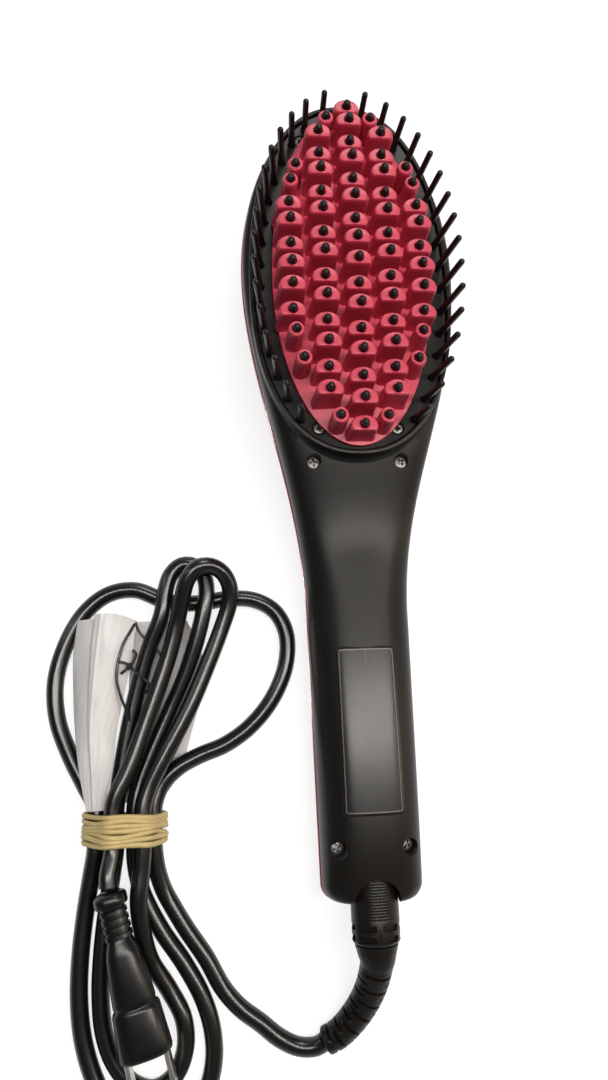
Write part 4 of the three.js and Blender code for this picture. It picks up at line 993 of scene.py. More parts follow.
WALL = 2.2
SEAM = 0.15
LOWER_STEP = 0.35
HEAD_Y, TIP, NECK_Y, END_Y = 77.0, 69.0, -55.0, -146.0
HEAD_HALF, HANDLE_HALF, END_HALF = 39.5, 18.2, 17.0
END_CORNER, END_CORNER_DEPTH, END_EDGE = 5, 3, 1.4
FLANK_START, FLANK_LENGTH = -50, 110
HEAD_PARTING, TIP_PARTING_RISE, HANDLE_PARTING = 28.5, 3.5, 12.5
HANDLE_TOP, DECK_RISE, DECK_START, DECK_RAMP = 25.8, 11, -30, 60
GRIP_RISE, GRIP_RAMP = 2.2, 88
END_DROP, DROP_START, DROP_LENGTH = 3, -118, 28
BELLY_DEPTH, NECK_ARCH, NECK_ARCH_Y, NECK_ARCH_REACH = 0.5, 8.5, -8, 68
END_LIFT, LIFT_START, LIFT_LENGTH = 3, -110, 36
HANDLE_SQUARENESS, HEAD_SQUARENESS_GAIN, LOWER_SQUARENESS = 2.4, 3.6, 2.3
STATION_STEP = 2.8


def along_flank(y):
    """0 on the handle and 1 on the head, with a smooth change between them."""
    return ease((y - FLANK_START) / FLANK_LENGTH)


def parting_height(y):
    head = HEAD_PARTING + TIP_PARTING_RISE * max(0.0, (y - HEAD_Y) / TIP) ** 2
    return HANDLE_PARTING + (head - HANDLE_PARTING) * along_flank(y)


def top_height(y):
    deck = DECK_RISE * ease((y - DECK_START) / DECK_RAMP)
    grip = GRIP_RISE * ease((DECK_START - y) / GRIP_RAMP)
    return HANDLE_TOP + deck + grip - END_DROP * max(0.0, (DROP_START - y) / DROP_LENGTH) ** 2


def bottom_height(y):
    arch = NECK_ARCH * math.cos(0.5 * math.pi * clamp01(abs(y - NECK_ARCH_Y) / NECK_ARCH_REACH)) ** 2
    return -BELLY_DEPTH + arch + END_LIFT * max(0.0, (LIFT_START - y) / LIFT_LENGTH) ** 2


def half_width(y, inset):
    if y >= HEAD_Y:
        return HEAD_HALF - inset
    if y >= NECK_Y:
        swell = max(0.0, math.cos(0.5 * math.pi * (HEAD_Y - y) / (HEAD_Y - NECK_Y)))
        return HANDLE_HALF - inset + (HEAD_HALF - HANDLE_HALF) * swell ** 2.2
    to_end = (NECK_Y - y) / (NECK_Y - END_Y)
    corner = max(0.0, (END_Y + END_CORNER - y) / END_CORNER)
    return HANDLE_HALF + (END_HALF - HANDLE_HALF) * to_end - inset - END_CORNER_DEPTH * corner ** 2


def section(y, inset, upper, seam=0.0):
    """Half width, seam height, rise and squareness of the upper or lower half at a place along the brush."""
    base = parting_height(y) + (seam if upper else -seam)
    rise = top_height(y) - inset - base if upper else base - bottom_height(y) - inset
    half = half_width(y, inset) + (0.0 if upper else LOWER_STEP)
    if y > HEAD_Y:
        along = min(1.0, (y - HEAD_Y) / (TIP - inset))
        round_off = math.sqrt(max(0.0, 1 - along * along))
        half *= round_off
        rise *= round_off ** (1 / 3) if upper else round_off
    squareness = HANDLE_SQUARENESS + HEAD_SQUARENESS_GAIN * along_flank(y) if upper else LOWER_SQUARENESS
    return half, base, rise, squareness


def surface_height(x, y, upper=True, inset=0.0):
    half, base, rise, power = section(y, inset, upper)
    reach = (1 - min(1.0, abs(x) / max(half, 1e-6)) ** power) ** (1 / power)
    return base + rise * reach if upper else base - rise * reach


def half_ring(y, inset, upper, count):
    """The upper or lower outline of the housing at a place, from its right seam to its left one."""
    half, base, rise, power = section(y, inset, upper, SEAM)
    ring = []
    for k in range(count + 1):
        angle = math.pi * k / count
        c, s = math.cos(angle), abs(math.sin(angle))
        reach = (abs(c) ** power + s ** power) ** (-1 / power)
        z = rise * reach * s
        ring.append((half * reach * c, y, base + z if upper else max(0.0, base - z)))
    return ring


def housing_stations(wall):
    """Places along the brush with the inset that rounds the end's edge."""
    stations = [(HEAD_Y + (TIP - wall) * math.sin(math.radians(a)), wall) for a in range(90, 0, -3)]
    y = HEAD_Y
    while y > END_Y + 6:
        stations.append((y, wall))
        y -= STATION_STEP
    for y in (5.2, 4.4, 3.6, 2.8, 2.1):
        stations.append((max(END_Y + y, END_Y + wall + END_EDGE), wall))
    for a in range(0, 91, 18):
        turn = math.radians(a)
        y = END_Y + wall + END_EDGE * (1 - math.sin(turn))
        stations.append((y, wall + END_EDGE * (1 - math.cos(turn))))
    return stations


def half_shell(upper, count=80):
    """One half of the housing as a closed wall: outer skin, inner skin and the seam between them."""
    layers = []
    for wall in (0.0, WALL):
        rows = [half_ring(y, inset, upper, count) for y, inset in housing_stations(wall)]
        y = END_Y + wall
        base = parting_height(y) + (SEAM if upper else -SEAM)
        last = rows[-1]
        rows += [[(x, y, base + (z - base) * share) for x, _, z in last] for share in (0.66, 0.33, 0.0)]
        layers.append(rows)
    points = [p for rows in layers for row in rows for p in row]
    width, depth = count + 1, len(layers[0])
    faces = []
    for layer in (0, 1):
        base = layer * width * depth
        for r in range(depth - 1):
            for i in range(count):
                a = base + r * width + i
                faces.append((a, a + 1, a + width + 1, a + width))
    rim = [r * width for r in range(depth)] + [(depth - 1) * width + i for i in range(1, width)]
    rim += [r * width + count for r in range(depth - 2, -1, -1)]
    inner = width * depth
    for a, b in zip(rim, rim[1:]):
        faces.append((a, b, inner + b, inner + a))
    return points, faces


def whole_housing(shrink):
    """The housing's outer form as one solid."""
    rings = []
    for y, inset in housing_stations(0.0):
        upper = half_ring(y, inset + shrink, True, 32)
        lower = half_ring(y, inset + shrink, False, 32)
        rings.append(upper + lower[::-1])
    return skin(rings)


# Oval opening with its raised lip

OPENING_HALF, OPENING_Y, OPENING_UPPER, OPENING_LOWER, OPENING_POWER = 35.6, 68.0, 75.0, 63.2, 2.25
PLATE_HALF, PLATE_Y, PLATE_UPPER, PLATE_LOWER = 29.0, 70.0, 70.5, 64.0
LIP_WIDTH, LIP_EDGE, LIP_TOP = 1.6, 36.95, 37.4
LEDGE_WIDTH, LEDGE_TOP, LEDGE_BOTTOM = 2.2, 33.8, 31.8
FILLET_STEPS = 7
FILLET_END_Y, FILLET_RAMP = 40, 36
RIM_POINTS = 160


def oval(half, centre, upper, lower, power, offset, count):
    outline = []
    for c, s in circle(count):
        reach = (upper if s > 0 else lower) + offset
        x = (half + offset) * math.copysign(abs(c) ** (2 / power), c)
        outline.append((x, centre + reach * math.copysign(abs(s) ** (2 / power), s)))
    return outline


def opening(offset, count=RIM_POINTS):
    return oval(OPENING_HALF, OPENING_Y, OPENING_UPPER, OPENING_LOWER, OPENING_POWER, offset, count)


def plate_oval(offset, count=96):
    return oval(PLATE_HALF, PLATE_Y, PLATE_UPPER, PLATE_LOWER, 2.0, offset, count)


def rim_column(x, y, nx, ny):
    """The rim's section at a point of the opening: ledge, lip, and a fillet down to the cover outside."""

    def at(offset, z):
        return (x + nx * offset, y + ny * offset, z)

    def cover(offset):
        px, py, _ = at(offset, 0)
        return surface_height(px, min(py, HEAD_Y + TIP - 0.5))

    drop = max(0.4, LIP_EDGE - cover(LIP_WIDTH))
    fillet = 0.5 + 0.55 * drop * ease((FILLET_END_Y - y) / FILLET_RAMP)
    foot = LIP_WIDTH + fillet
    low = min(36.2, cover(foot)) - 0.35
    column = [
        at(-LEDGE_WIDTH, LEDGE_BOTTOM), at(-LEDGE_WIDTH, LEDGE_TOP - 0.2), at(-LEDGE_WIDTH + 0.2, LEDGE_TOP),
        at(0.0, LEDGE_TOP), at(0.0, LIP_TOP - 0.5), at(0.12, LIP_TOP - 0.2),
        at(0.4, LIP_TOP), at(1.15, LIP_TOP), at(1.45, LIP_TOP - 0.12), at(LIP_WIDTH, LIP_EDGE),
    ]
    for k in range(1, FILLET_STEPS + 1):
        turn = 0.5 * math.pi * k / FILLET_STEPS
        offset = LIP_WIDTH + fillet * (1 - math.cos(turn))
        column.append(at(offset, LIP_EDGE - (LIP_EDGE - low) * math.sin(turn)))
    column.append(at(foot, low - 0.4))
    column.append(at(0.8, min(LEDGE_BOTTOM, low - 1.2)))
    column.append(at(-0.8, min(LEDGE_BOTTOM, low - 0.6)))
    return column


def rim_solid():
    base = opening(0.0)
    columns = []
    for i, (x, y) in enumerate(base):
        (ax, ay), (bx, by) = base[i - 1], base[(i + 1) % RIM_POINTS]
        run = math.hypot(bx - ax, by - ay)
        columns.append(rim_column(x, y, (by - ay) / run, (ax - bx) / run))
    return skin(list(zip(*columns)), closed=True)


# Front cover: x, y and top of each pair of screws, and the bore and notch for the collar

NECK_SCREW = (15.8, 2.4, 30.2)
HANDLE_SCREW = (11.9, -129.0, 17.0)
NECK_BOSS_RADIUS, HANDLE_BOSS_RADIUS = 3.5, 4.2
HANDLE_BOSS_BOTTOM, HANDLE_BOSS_TOP = 12.8, 30
NECK_HOLE_RADIUS, HANDLE_HOLE_RADIUS = 2.45, 2.8
HOLE_EDGE = 0.3
COLLAR_Z = 16.5
COLLAR_RADIUS = 8.0
BORE_END = -136.7
BEYOND_END = END_Y - 5
NOTCH_HALF, NOTCH_LENGTH, NOTCH_START = 7.6, 7.3, 0.4
HIGH = 60


def collar_bore():
    """The bore round the collar, from beyond the handle's end."""
    radius = COLLAR_RADIUS + CLEARANCE
    rings = []
    for y in (BEYOND_END, BORE_END):
        rings.append([(radius * c, y, COLLAR_Z + radius * s) for c, s in circle(48)])
    return build("bore", [skin(rings)])


def cover_bosses():
    """Bosses below the screws, trimmed to the inside of the housing."""
    bosses = []
    neck_x, neck_y, neck_top = NECK_SCREW
    end_x, end_y, _ = HANDLE_SCREW
    neck_profile = [(NECK_BOSS_RADIUS, neck_top - 6), (NECK_BOSS_RADIUS, neck_top + 4)]
    end_profile = [(HANDLE_BOSS_RADIUS, HANDLE_BOSS_BOTTOM), (HANDLE_BOSS_RADIUS, HANDLE_BOSS_TOP)]
    for side in (-1, 1):
        bosses.append(turned(neck_profile, 40, (side * neck_x, neck_y)))
        bosses.append(turned(end_profile, 40, (side * end_x, end_y)))
    return carve(build("bosses", bosses), build("form", [whole_housing(0.4)]), "INTERSECT")


def screw_holes():
    """Holes down to the screws, with a small bevel at the surface."""
    holes = []
    for side in (-1, 1):
        for radius, (x, y, top) in ((NECK_HOLE_RADIUS, NECK_SCREW), (HANDLE_HOLE_RADIUS, HANDLE_SCREW)):
            face = surface_height(x, y)
            wide = radius + HOLE_EDGE
            profile = [(radius, top - 1.9), (radius, face - 0.15), (wide, face + 0.2), (wide, HIGH)]
            holes.append(turned(profile, 40, (side * x, y)))
    return build("screw_holes", holes)


def collar_notch():
    """The arched notch in the handle's end above the collar."""
    notch = [(-NOTCH_HALF, BEYOND_END), (NOTCH_HALF, BEYOND_END)]
    notch += [(NOTCH_HALF * c, END_Y + NOTCH_START + NOTCH_LENGTH * s) for c, s in circle(48)[:25]]
    return build("notch", [prism(notch, COLLAR_Z, 40)])


def front_cover():
    cover = build("front_shell", [half_shell(True)])
    carve(cover, cover_bosses(), "UNION")
    carve(cover, build("mouth", [prism(opening(0.8), 22, HIGH)]))
    carve(cover, build("rim", [rim_solid()]), "UNION")
    carve(cover, screw_holes())
    carve(cover, collar_bore())
    carve(cover, collar_notch())
    clean(cover.data)
    return piece(cover, "soft_black", ("front_cover",), sharp=32)


# Back shell with its window and buttons

BUTTONS = {"power": (-16.0, 4.5), "plus": (-5.0, 3.75), "minus": (5.0, 3.75)}
WINDOW_HALF, WINDOW_START, WINDOW_END = 11.0, 18.0, 34.0
PANE_THICKNESS = 1.5
PANE_ACROSS, PANE_ALONG = 24, 16
SWITCH_BOTTOM = 12.2
SWITCH_GAP = 0.9
STEM_RADIUS = 1.2
STEM_TOP = SWITCH_BOTTOM + 1.2
BUTTON_PROUD = 0.8
FLANGE_WIDTH, FLANGE_THICKNESS = 0.9, 0.8
MARK_HEIGHT = 0.12
BAR = (-1.4, 1.4, -0.22, 0.22)
UPRIGHTS = [(-0.22, 0.22, 0.22, 1.4), (-0.22, 0.22, -1.4, -0.22)]
POWER_BAR = (-0.25, 0.25, 0.2, 2.2)


def back_shell():
    shell = build("rear_shell", [half_shell(False)])
    tools = [turned([(radius, -3), (radius, 12)], 48, (0.0, y)) for y, radius in BUTTONS.values()]
    tools.append(block(-WINDOW_HALF, WINDOW_HALF, WINDOW_START, WINDOW_END, -5, 14))
    carve(shell, build("openings", tools))
    carve(shell, collar_bore())
    clean(shell.data)
    return piece(shell, "gloss_pink", ("back_shell",), sharp=32)


def display_window():
    """A pane that carries on the shell's own curve."""
    layers = []
    for inset in (0.0, PANE_THICKNESS):
        layer = []
        for i in range(PANE_ALONG + 1):
            y = WINDOW_START + CLEARANCE + (WINDOW_END - WINDOW_START - 2 * CLEARANCE) * i / PANE_ALONG
            for j in range(PANE_ACROSS + 1):
                x = (WINDOW_HALF - CLEARANCE) * (2 * j / PANE_ACROSS - 1)
                layer.append((x, y, surface_height(x, y, False) + inset))
        layers.append(layer)
    pane = build("display_pane", [sheet(*layers, PANE_ACROSS + 1)])
    return piece(pane, "dark_gloss", ("display_window",))


def button_cap(name, mark):
    """A domed cap with its retaining flange, stem and a raised mark."""
    y, radius = BUTTONS[name]
    cap = radius - CLEARANCE
    wide = radius + FLANGE_WIDTH
    face = bottom_height(y) - BUTTON_PROUD
    flange = surface_height(wide, y, False, WALL) + 0.6
    flange_top = min(flange + FLANGE_THICKNESS, SWITCH_BOTTOM - SWITCH_GAP)
    profile = [
        (0.0, face), (0.4 * cap, face + 0.02), (0.75 * cap, face + 0.08), (cap - 0.45, face + 0.2),
        (cap - 0.15, face + 0.4), (cap, face + 0.75), (cap, flange), (wide, flange), (wide, flange_top),
        (STEM_RADIUS, flange_top), (STEM_RADIUS, STEM_TOP), (0.0, STEM_TOP),
    ]
    solids = [turned(profile, 48, (0.0, y))]
    for x0, x1, y0, y1 in mark:
        solids.append(block(x0, x1, y + y0, y + y1, face - MARK_HEIGHT, face + 0.5))
    return piece(build(f"{name}_button", solids), "soft_black", (f"button_{name}",), f"{name}_cap")


front_cover()
back_shell()
display_window()
button_cap("minus", [BAR])
button_cap("plus", [BAR, *UPRIGHTS])
button_cap("power", [POWER_BAR])


# Bare plate on the handle

BARE_HALF, BARE_START, BARE_END = 10.4, -118.3, -62.7
BARE_LIFT = 0.2
BARE_CORNER = 1.6
BARE_STEPS = (6, 14, 36)
FIELD_INSET, FIELD_CORNER = 1.25, 0.6
BORDER_INSET, BORDER_CORNER, BORDER_WIDTH = 0.9, 0.7, 0.36


def rounded_box(half_x, y0, y1, radius, count, along_x=1, along_y=1):
    """A rectangle with round corners; its straight sides are parted into equal steps."""
    outline = []
    corners = ((half_x, y1, 0), (-half_x, y1, 90), (-half_x, y0, 180), (half_x, y0, 270))
    for cx, cy, start in corners:
        ox = math.copysign(abs(cx) - radius, cx)
        oy = cy - radius if start < 180 else cy + radius
        for k in range(count + 1):
            angle = math.radians(start + 90 * k / count)
            outline.append((ox + radius * math.cos(angle), oy + radius * math.sin(angle)))
        steps = along_x if start in (0, 180) else along_y
        x, y = outline[-1]
        for k in range(1, steps):
            if start in (0, 180):
                outline.append((x - 2 * ox * k / steps, y))
            else:
                reach = y1 - y0 - 2 * radius
                outline.append((x, y - reach * k / steps if start == 90 else y + reach * k / steps))
    return outline


def bare_outline(inset, corner):
    return rounded_box(BARE_HALF - inset, BARE_START + inset, BARE_END - inset, corner, *BARE_STEPS)


def on_handle(outline, lift):
    return [(x, y, surface_height(x, y) + lift) for x, y in outline]


def in_border(x, y):
    """Whether a place, measured from the plate's middle, lies on the thin printed border."""
    across = abs(x) - (BARE_HALF - BORDER_INSET)
    along = abs(y) - ((BARE_END - BARE_START) / 2 - BORDER_INSET)
    corner = math.hypot(max(0.0, across + BORDER_CORNER), max(0.0, along + BORDER_CORNER)) - BORDER_CORNER
    return -BORDER_WIDTH < max(across, along, corner) < 0.0


def bare_plate():
    """A thin glossy plate on the handle, bare apart from its printed border."""
    edge = [(0.0, -0.3), (0.0, 0.14), (0.08, BARE_LIFT), (0.9, BARE_LIFT), (FIELD_INSET, BARE_LIFT)]
    rings = []
    for inset, lift in edge:
        rings.append(on_handle(bare_outline(inset, BARE_CORNER - min(inset, 1.0)), lift))
    field = bare_outline(FIELD_INSET, FIELD_CORNER)
    middle = (BARE_START + BARE_END) / 2
    for k in range(1, 13):
        share = 1 - k / 12
        rings.append(on_handle([(x * share, middle + (y - middle) * share) for x, y in field], BARE_LIFT))
    points, faces = skin(rings, ends=False)
    faces.append(tuple(range(len(field))))
    plate = build("bare_plate", [(points, faces)])
    film = plastic(
        "plate_film_black", (0.0105, 0.0095, 0.0090), (0.0075, 0.0068, 0.0064), (0.20, 0.30),
        grain=900.0, relief=0.04, specular=0.30,
    )
    border = plastic(
        "plate_border_grey", (0.11, 0.105, 0.10), (0.075, 0.072, 0.07), (0.25, 0.4), grain=1500.0, relief=0.05
    )
    piece(plate, "dark_gloss", sharp=50, material=film)
    plate.data.materials.append(border)
    for face in plate.data.polygons:
        if in_border(face.center.x / MM, face.center.y / MM - FORWARD - middle):
            face.material_index = 1
    return plate


bare_plate()


# Bristle ring

RING_BOTTOM, RING_TOP = 34.1, 36.2
RING_POINTS = 192
RING_SCREWS = [(-13.99, 13.0), (13.99, 13.0), (-16.38, 129.4), (16.38, 129.4)]
SEAT_RADIUS, SEAT_BEVEL, SEAT_DEPTH = 2.4, 0.4, 1.4
BRISTLE_COUNT = 16
BRISTLE_HALF, BRISTLE_Y, BRISTLE_UPPER, BRISTLE_LOWER = 33.2, 67.0, 75.0, 64.0
FIRST_BRISTLE_X, LAST_BRISTLE_X = 7.5, 20.3
BRISTLE_SAMPLES = 600
BRISTLE_RADIUS = 1.14
BRISTLE_LENGTH, BRISTLE_TAPER, TIP_TAPER, TIP_TAPER_START = 21.5, 6, 7, 0.55
BRISTLE_SPLAY, BRISTLE_LEAN = 3.2, 2
BRISTLE_MIDDLE, BRISTLE_REACH = 70, 65


def bristle_places():
    """Places on one side of the ring, evenly spaced along an oval."""
    start = math.acos(FIRST_BRISTLE_X / BRISTLE_HALF)
    end = -math.acos(LAST_BRISTLE_X / BRISTLE_HALF)
    dense = []
    for i in range(BRISTLE_SAMPLES + 1):
        angle = start + (end - start) * i / BRISTLE_SAMPLES
        reach = BRISTLE_UPPER if angle > 0 else BRISTLE_LOWER
        dense.append((BRISTLE_HALF * math.cos(angle), BRISTLE_Y + reach * math.sin(angle)))
    lengths = running_lengths(dense)
    places = []
    for k in range(BRISTLE_COUNT):
        target = lengths[-1] * k / (BRISTLE_COUNT - 1)
        places.append(dense[min(range(len(dense)), key=lambda i: abs(lengths[i] - target))])
    return places


def dome(end, radius):
    """Girths of a rod's round end, as (place, girth) pairs."""
    angles = [math.radians(a) for a in range(0, 90, 15)]
    return [(end - radius * (1 - math.sin(a)), radius * math.cos(a)) for a in angles] + [(end, 0.04)]


def bristle_lines():
    """Bristles with a flared foot, leaning outwards, and shorter towards the tip and the neck."""
    lines = []
    for x, y in bristle_places():
        along = (y - BRISTLE_MIDDLE) / BRISTLE_REACH
        length = BRISTLE_LENGTH - BRISTLE_TAPER * along ** 2
        length -= TIP_TAPER * max(0.0, along - TIP_TAPER_START) ** 2
        line = [(0, 1.75), (0.7, 1.65), (1.2, 1.32), (2.2, 1.24), (0.5 * length, BRISTLE_RADIUS)]
        line += dome(length, BRISTLE_RADIUS)
        for side in (-1, 1):
            splay = side * BRISTLE_SPLAY * (1 - 0.8 * along ** 2)
            lean = Vector((splay, BRISTLE_LEAN * along, length)).normalized()
            root = Vector((side * x, y, RING_TOP - 0.6))
            lines.append([(root + lean * reach, girth) for reach, girth in line])
    return lines


def at_height(outline, z):
    return [(x, y, z) for x, y in outline]


def bristle_ring():
    outer = opening(-CLEARANCE, RING_POINTS)
    inner = plate_oval(-1.8, RING_POINTS)
    rings = [
        at_height(outer, RING_BOTTOM), at_height(outer, RING_TOP - 0.25),
        at_height(opening(-0.55, RING_POINTS), RING_TOP), at_height(inner, RING_TOP),
        at_height(inner, RING_BOTTOM),
    ]
    ring = build("ring_base", [skin(rings, closed=True)])
    seat = [
        (SEAT_RADIUS, RING_TOP - SEAT_DEPTH), (SEAT_RADIUS, RING_TOP - 0.2),
        (SEAT_RADIUS + SEAT_BEVEL, RING_TOP + 0.2), (SEAT_RADIUS + SEAT_BEVEL, 45),
    ]
    carve(ring, build("seats", [turned(seat, 40, place) for place in RING_SCREWS]))
    bristles = rods("bristles", bristle_lines(), 14, FINISH["ring_black"])
    return join_pieces("ring_of_bristles", [ring, bristles])


piece(bristle_ring(), "ring_black", ("bristle_ring",), sharp=35)


# Pegs: a centre column, two columns of D pegs on each side, and round pegs near the rim

PLATE_BOTTOM, EDGE_TOP, EDGE_INSET, CROWN = 36.5, 38.0, 0.12, 4.0
PEG_PITCH, FIRST_PEG_Y = 8.33, 135.0
COLUMN_SPACING = 11.5
PEG_SHORT, PEG_RISE = 11, 2.4
PEG_SAG, PEG_SAG_Y = 0.00115, 72
CENTRE_TALL = [0, 1, 0, 1, 0, 1, 0, 1, 1, 0, 1, 0, 1, 0, 1, 0]
OUTER_TALL = [0, 1, 0, 1, 1, 0]
INNER_ROWS, INNER_START, INNER_DROP = 13, 1.59, 1.05
OUTER_START, OUTER_DROP = 5.035, 2.56
ROUND_PEGS = [(8.2, 129), (20.2, 108.3), (22.2, 101.9), (22.1, 43.6), (19.8, 33.4), (8.2, 12.9)]
ROUND_TALL, ROUND_FALL = 0.5, 0.0048
ROUND_PEG_RADIUS = 3
D_HALF, D_BACK, D_DEPTH = 5.05, -0.4, 4
BORE_RADIUS, BORE_DEPTH = 1.64, 24
PIN_RADIUS = 1.45
PIN_BOTTOM = 33.6
TIP_RADIUS = 1.4
D_TIP_REACH, ROUND_TIP_REACH = 3.0, 2.3


def peg_places():
    """Every peg: its place, the height of its top, and whether it is round."""
    places = []
    for row, tall in enumerate(CENTRE_TALL):
        places.append((0.0, FIRST_PEG_Y - PEG_PITCH * row, tall, 0.0, False))
    for side in (-1, 1):
        for row in range(INNER_ROWS):
            y = FIRST_PEG_Y - PEG_PITCH * (row + INNER_START)
            places.append((side * COLUMN_SPACING, y, (row + 1) % 2, INNER_DROP, False))
        for row, tall in enumerate(OUTER_TALL):
            y = FIRST_PEG_Y - PEG_PITCH * (row + OUTER_START)
            places.append((side * 2 * COLUMN_SPACING, y, tall, OUTER_DROP, False))
        for x, y in ROUND_PEGS:
            places.append((side * x, y, ROUND_TALL, ROUND_FALL * x * x, True))
    base = PLATE_BOTTOM + 1.5 + CROWN + PEG_SHORT
    pegs = []
    for x, y, tall, drop, is_round in places:
        top = base + PEG_RISE * tall - drop - PEG_SAG * (y - PEG_SAG_Y) ** 2
        pegs.append((x, y, top, is_round))
    return pegs


def corner_cut(outline):
    """One round of corner cutting on a closed outline."""
    smooth = []
    for (ax, ay), (bx, by) in zip(outline, outline[1:] + outline[:1]):
        smooth.append((0.75 * ax + 0.25 * bx, 0.75 * ay + 0.25 * by))
        smooth.append((0.25 * ax + 0.75 * bx, 0.25 * ay + 0.75 * by))
    return smooth


def peg_outline(is_round):
    """A circle, or a D with a flat front and rounded corners."""
    if is_round:
        return [(ROUND_PEG_RADIUS * c, ROUND_PEG_RADIUS * s) for c, s in circle(32)]
    outline = []
    for k in range(10):
        angle = math.radians(-30 + 240 * k / 9)
        outline.append((D_HALF * math.cos(angle), D_BACK + D_DEPTH * math.sin(angle)))
    left, right = outline[-1], outline[0]
    outline += [tuple(a + (b - a) * t for a, b in zip(left, right)) for t in (0.2, 0.8)]
    return corner_cut(corner_cut(outline))


def crown_height(share):
    """Height of the plate's crowned top at a share of the way from its middle to its edge."""
    return EDGE_TOP + CROWN * (1 - share * share)


def dome_height(x, y):
    """Height of the plate between its pegs."""
    reach = (y - PLATE_Y) / (PLATE_UPPER if y > PLATE_Y else PLATE_LOWER)
    return crown_height(math.hypot(x / PLATE_HALF, reach))


def peg_solid(x, y, top, is_round):
    """A peg from below the plate's surface, with a small flare at its foot and a rounded top edge."""
    foot = dome_height(x, y)
    flare = 0.5 if is_round else 1.0
    levels = [
        (foot - 1.6, 1 + 0.12 * flare), (foot - 0.1, 1 + 0.11 * flare), (foot + 0.45, 1 + 0.04 * flare),
        (foot + 1.2, 1.01), (top - 2.6, 0.99), (top - 1.4, 0.98), (top - 0.85, 0.96), (top - 0.45, 0.93),
        (top - 0.18, 0.89), (top - 0.04, 0.85), (top, 0.81),
    ]
    outline = peg_outline(is_round)
    return skin([[(x + scale * px, y + scale * py, z) for px, py in outline] for z, scale in levels])


# Heating plate and the cool tips that stand through its pegs


def plate_ring(offset, share, z):
    """The plate's outline drawn in to a share of its size, at a height."""
    return [(x * share, PLATE_Y + (y - PLATE_Y) * share, z) for x, y in plate_oval(offset)]


def plate_solid():
    rings = [
        plate_ring(0.0, 0.99, PLATE_BOTTOM), plate_ring(0.0, 1.0, PLATE_BOTTOM + 0.3),
        plate_ring(0.0, 1.0, EDGE_TOP - 0.35), plate_ring(-EDGE_INSET, 1.0, crown_height(1.0)),
    ]
    for share in [0.985] + [0.95 - 0.05 * k for k in range(19)]:
        rings.append(plate_ring(0.0, share, crown_height(share)))
    return skin(rings)


def on_pegs(name, pegs, profile, closed):
    """A small turned shape on the top of every peg."""
    shape = build(name + "_shape", [turned(profile, 28, closed=closed)], local=True)
    return copies(name, [((x, y, top), UP, 0.0) for x, y, top, _ in pegs], shape, FINISH["plate_pink"])


def heating_plate(pegs):
    plate = build("pin_plate", [plate_solid()])
    carve(plate, build("pegs", [peg_solid(*peg) for peg in pegs]), "UNION")
    rim = [(1.5, -0.5), (2.06, -0.5), (2.05, -0.02), (2.0, 0.1), (1.88, 0.16), (1.74, 0.12), (1.5, -0.02)]
    carve(plate, on_pegs("bore_rims", pegs, rim, closed=True), "UNION")
    bore = [(BORE_RADIUS, -BORE_DEPTH), (BORE_RADIUS, -0.04), (BORE_RADIUS + 0.12, 0.3)]
    carve(plate, on_pegs("bores", pegs, bore, closed=False))
    return piece(plate, "plate_pink", ("heating_plate",), sharp=40)


def cool_tips(pegs):
    lines = []
    for x, y, top, is_round in pegs:
        tip = top + (ROUND_TIP_REACH if is_round else D_TIP_REACH)
        line = [(PIN_BOTTOM, 1.5), (tip - 2.6, PIN_RADIUS), *dome(tip, TIP_RADIUS)]
        lines.append([((x, y, z), girth) for z, girth in line])
    pins = rods("pins", lines, 16, FINISH["ring_black"])
    disc = build("pin_base", [prism(plate_oval(-2.1), 34.2, 36.2)])
    return piece(join_pieces("cool_tips", [disc, pins]), "ring_black", ("tip_comb",), sharp=35)


all_pegs = peg_places()
heating_plate(all_pegs)
cool_tips(all_pegs)


# Screws

SHANK_RADIUS, SHANK_LENGTH = 1.1, 3
CASE_HEAD_RADIUS, CASE_HEAD_HEIGHT, CASE_SLOT = 2.35, 1.6, 1.6
RING_HEAD_RADIUS, RING_HEAD_HEIGHT, RING_SLOT = 2.1, 1.1, 1.35


def screw_head(radius, height, slot):
    """A domed head with a tapered cross recess and a short shank, its top at the origin's height."""
    profile = [
        (0.0, 0.0), (0.55 * radius, -0.03), (0.85 * radius, -0.12), (0.96 * radius, -0.28), (radius, -0.5),
        (radius, -height), (SHANK_RADIUS, -height), (SHANK_RADIUS, -height - SHANK_LENGTH),
        (0.0, -height - SHANK_LENGTH),
    ]
    head = build("screw_shape", [turned(profile, 32)], local=True)
    for turn in (0.0, 0.5 * math.pi):
        c, s = math.cos(turn), math.sin(turn)
        rings = []
        for reach, wide, z in ((slot * 0.6, 0.26, -1.5), (slot, 0.46, 0.3)):
            ring = [(reach, wide), (-reach, wide), (-reach, -wide), (reach, -wide)]
            rings.append([(x * c - y * s, x * s + y * c, z) for x, y in ring])
        carve(head, build("recess", [skin(rings)], local=True))
    return head


def screws(name, places, shape, nodes):
    """Screws on (point, turn) places, which stand for the CAD's own."""
    turned_places = [(point, UP, turn) for point, turn in places]
    return piece(copies(name, turned_places, shape, zinc), "steel", nodes, sharp=35, material=zinc)


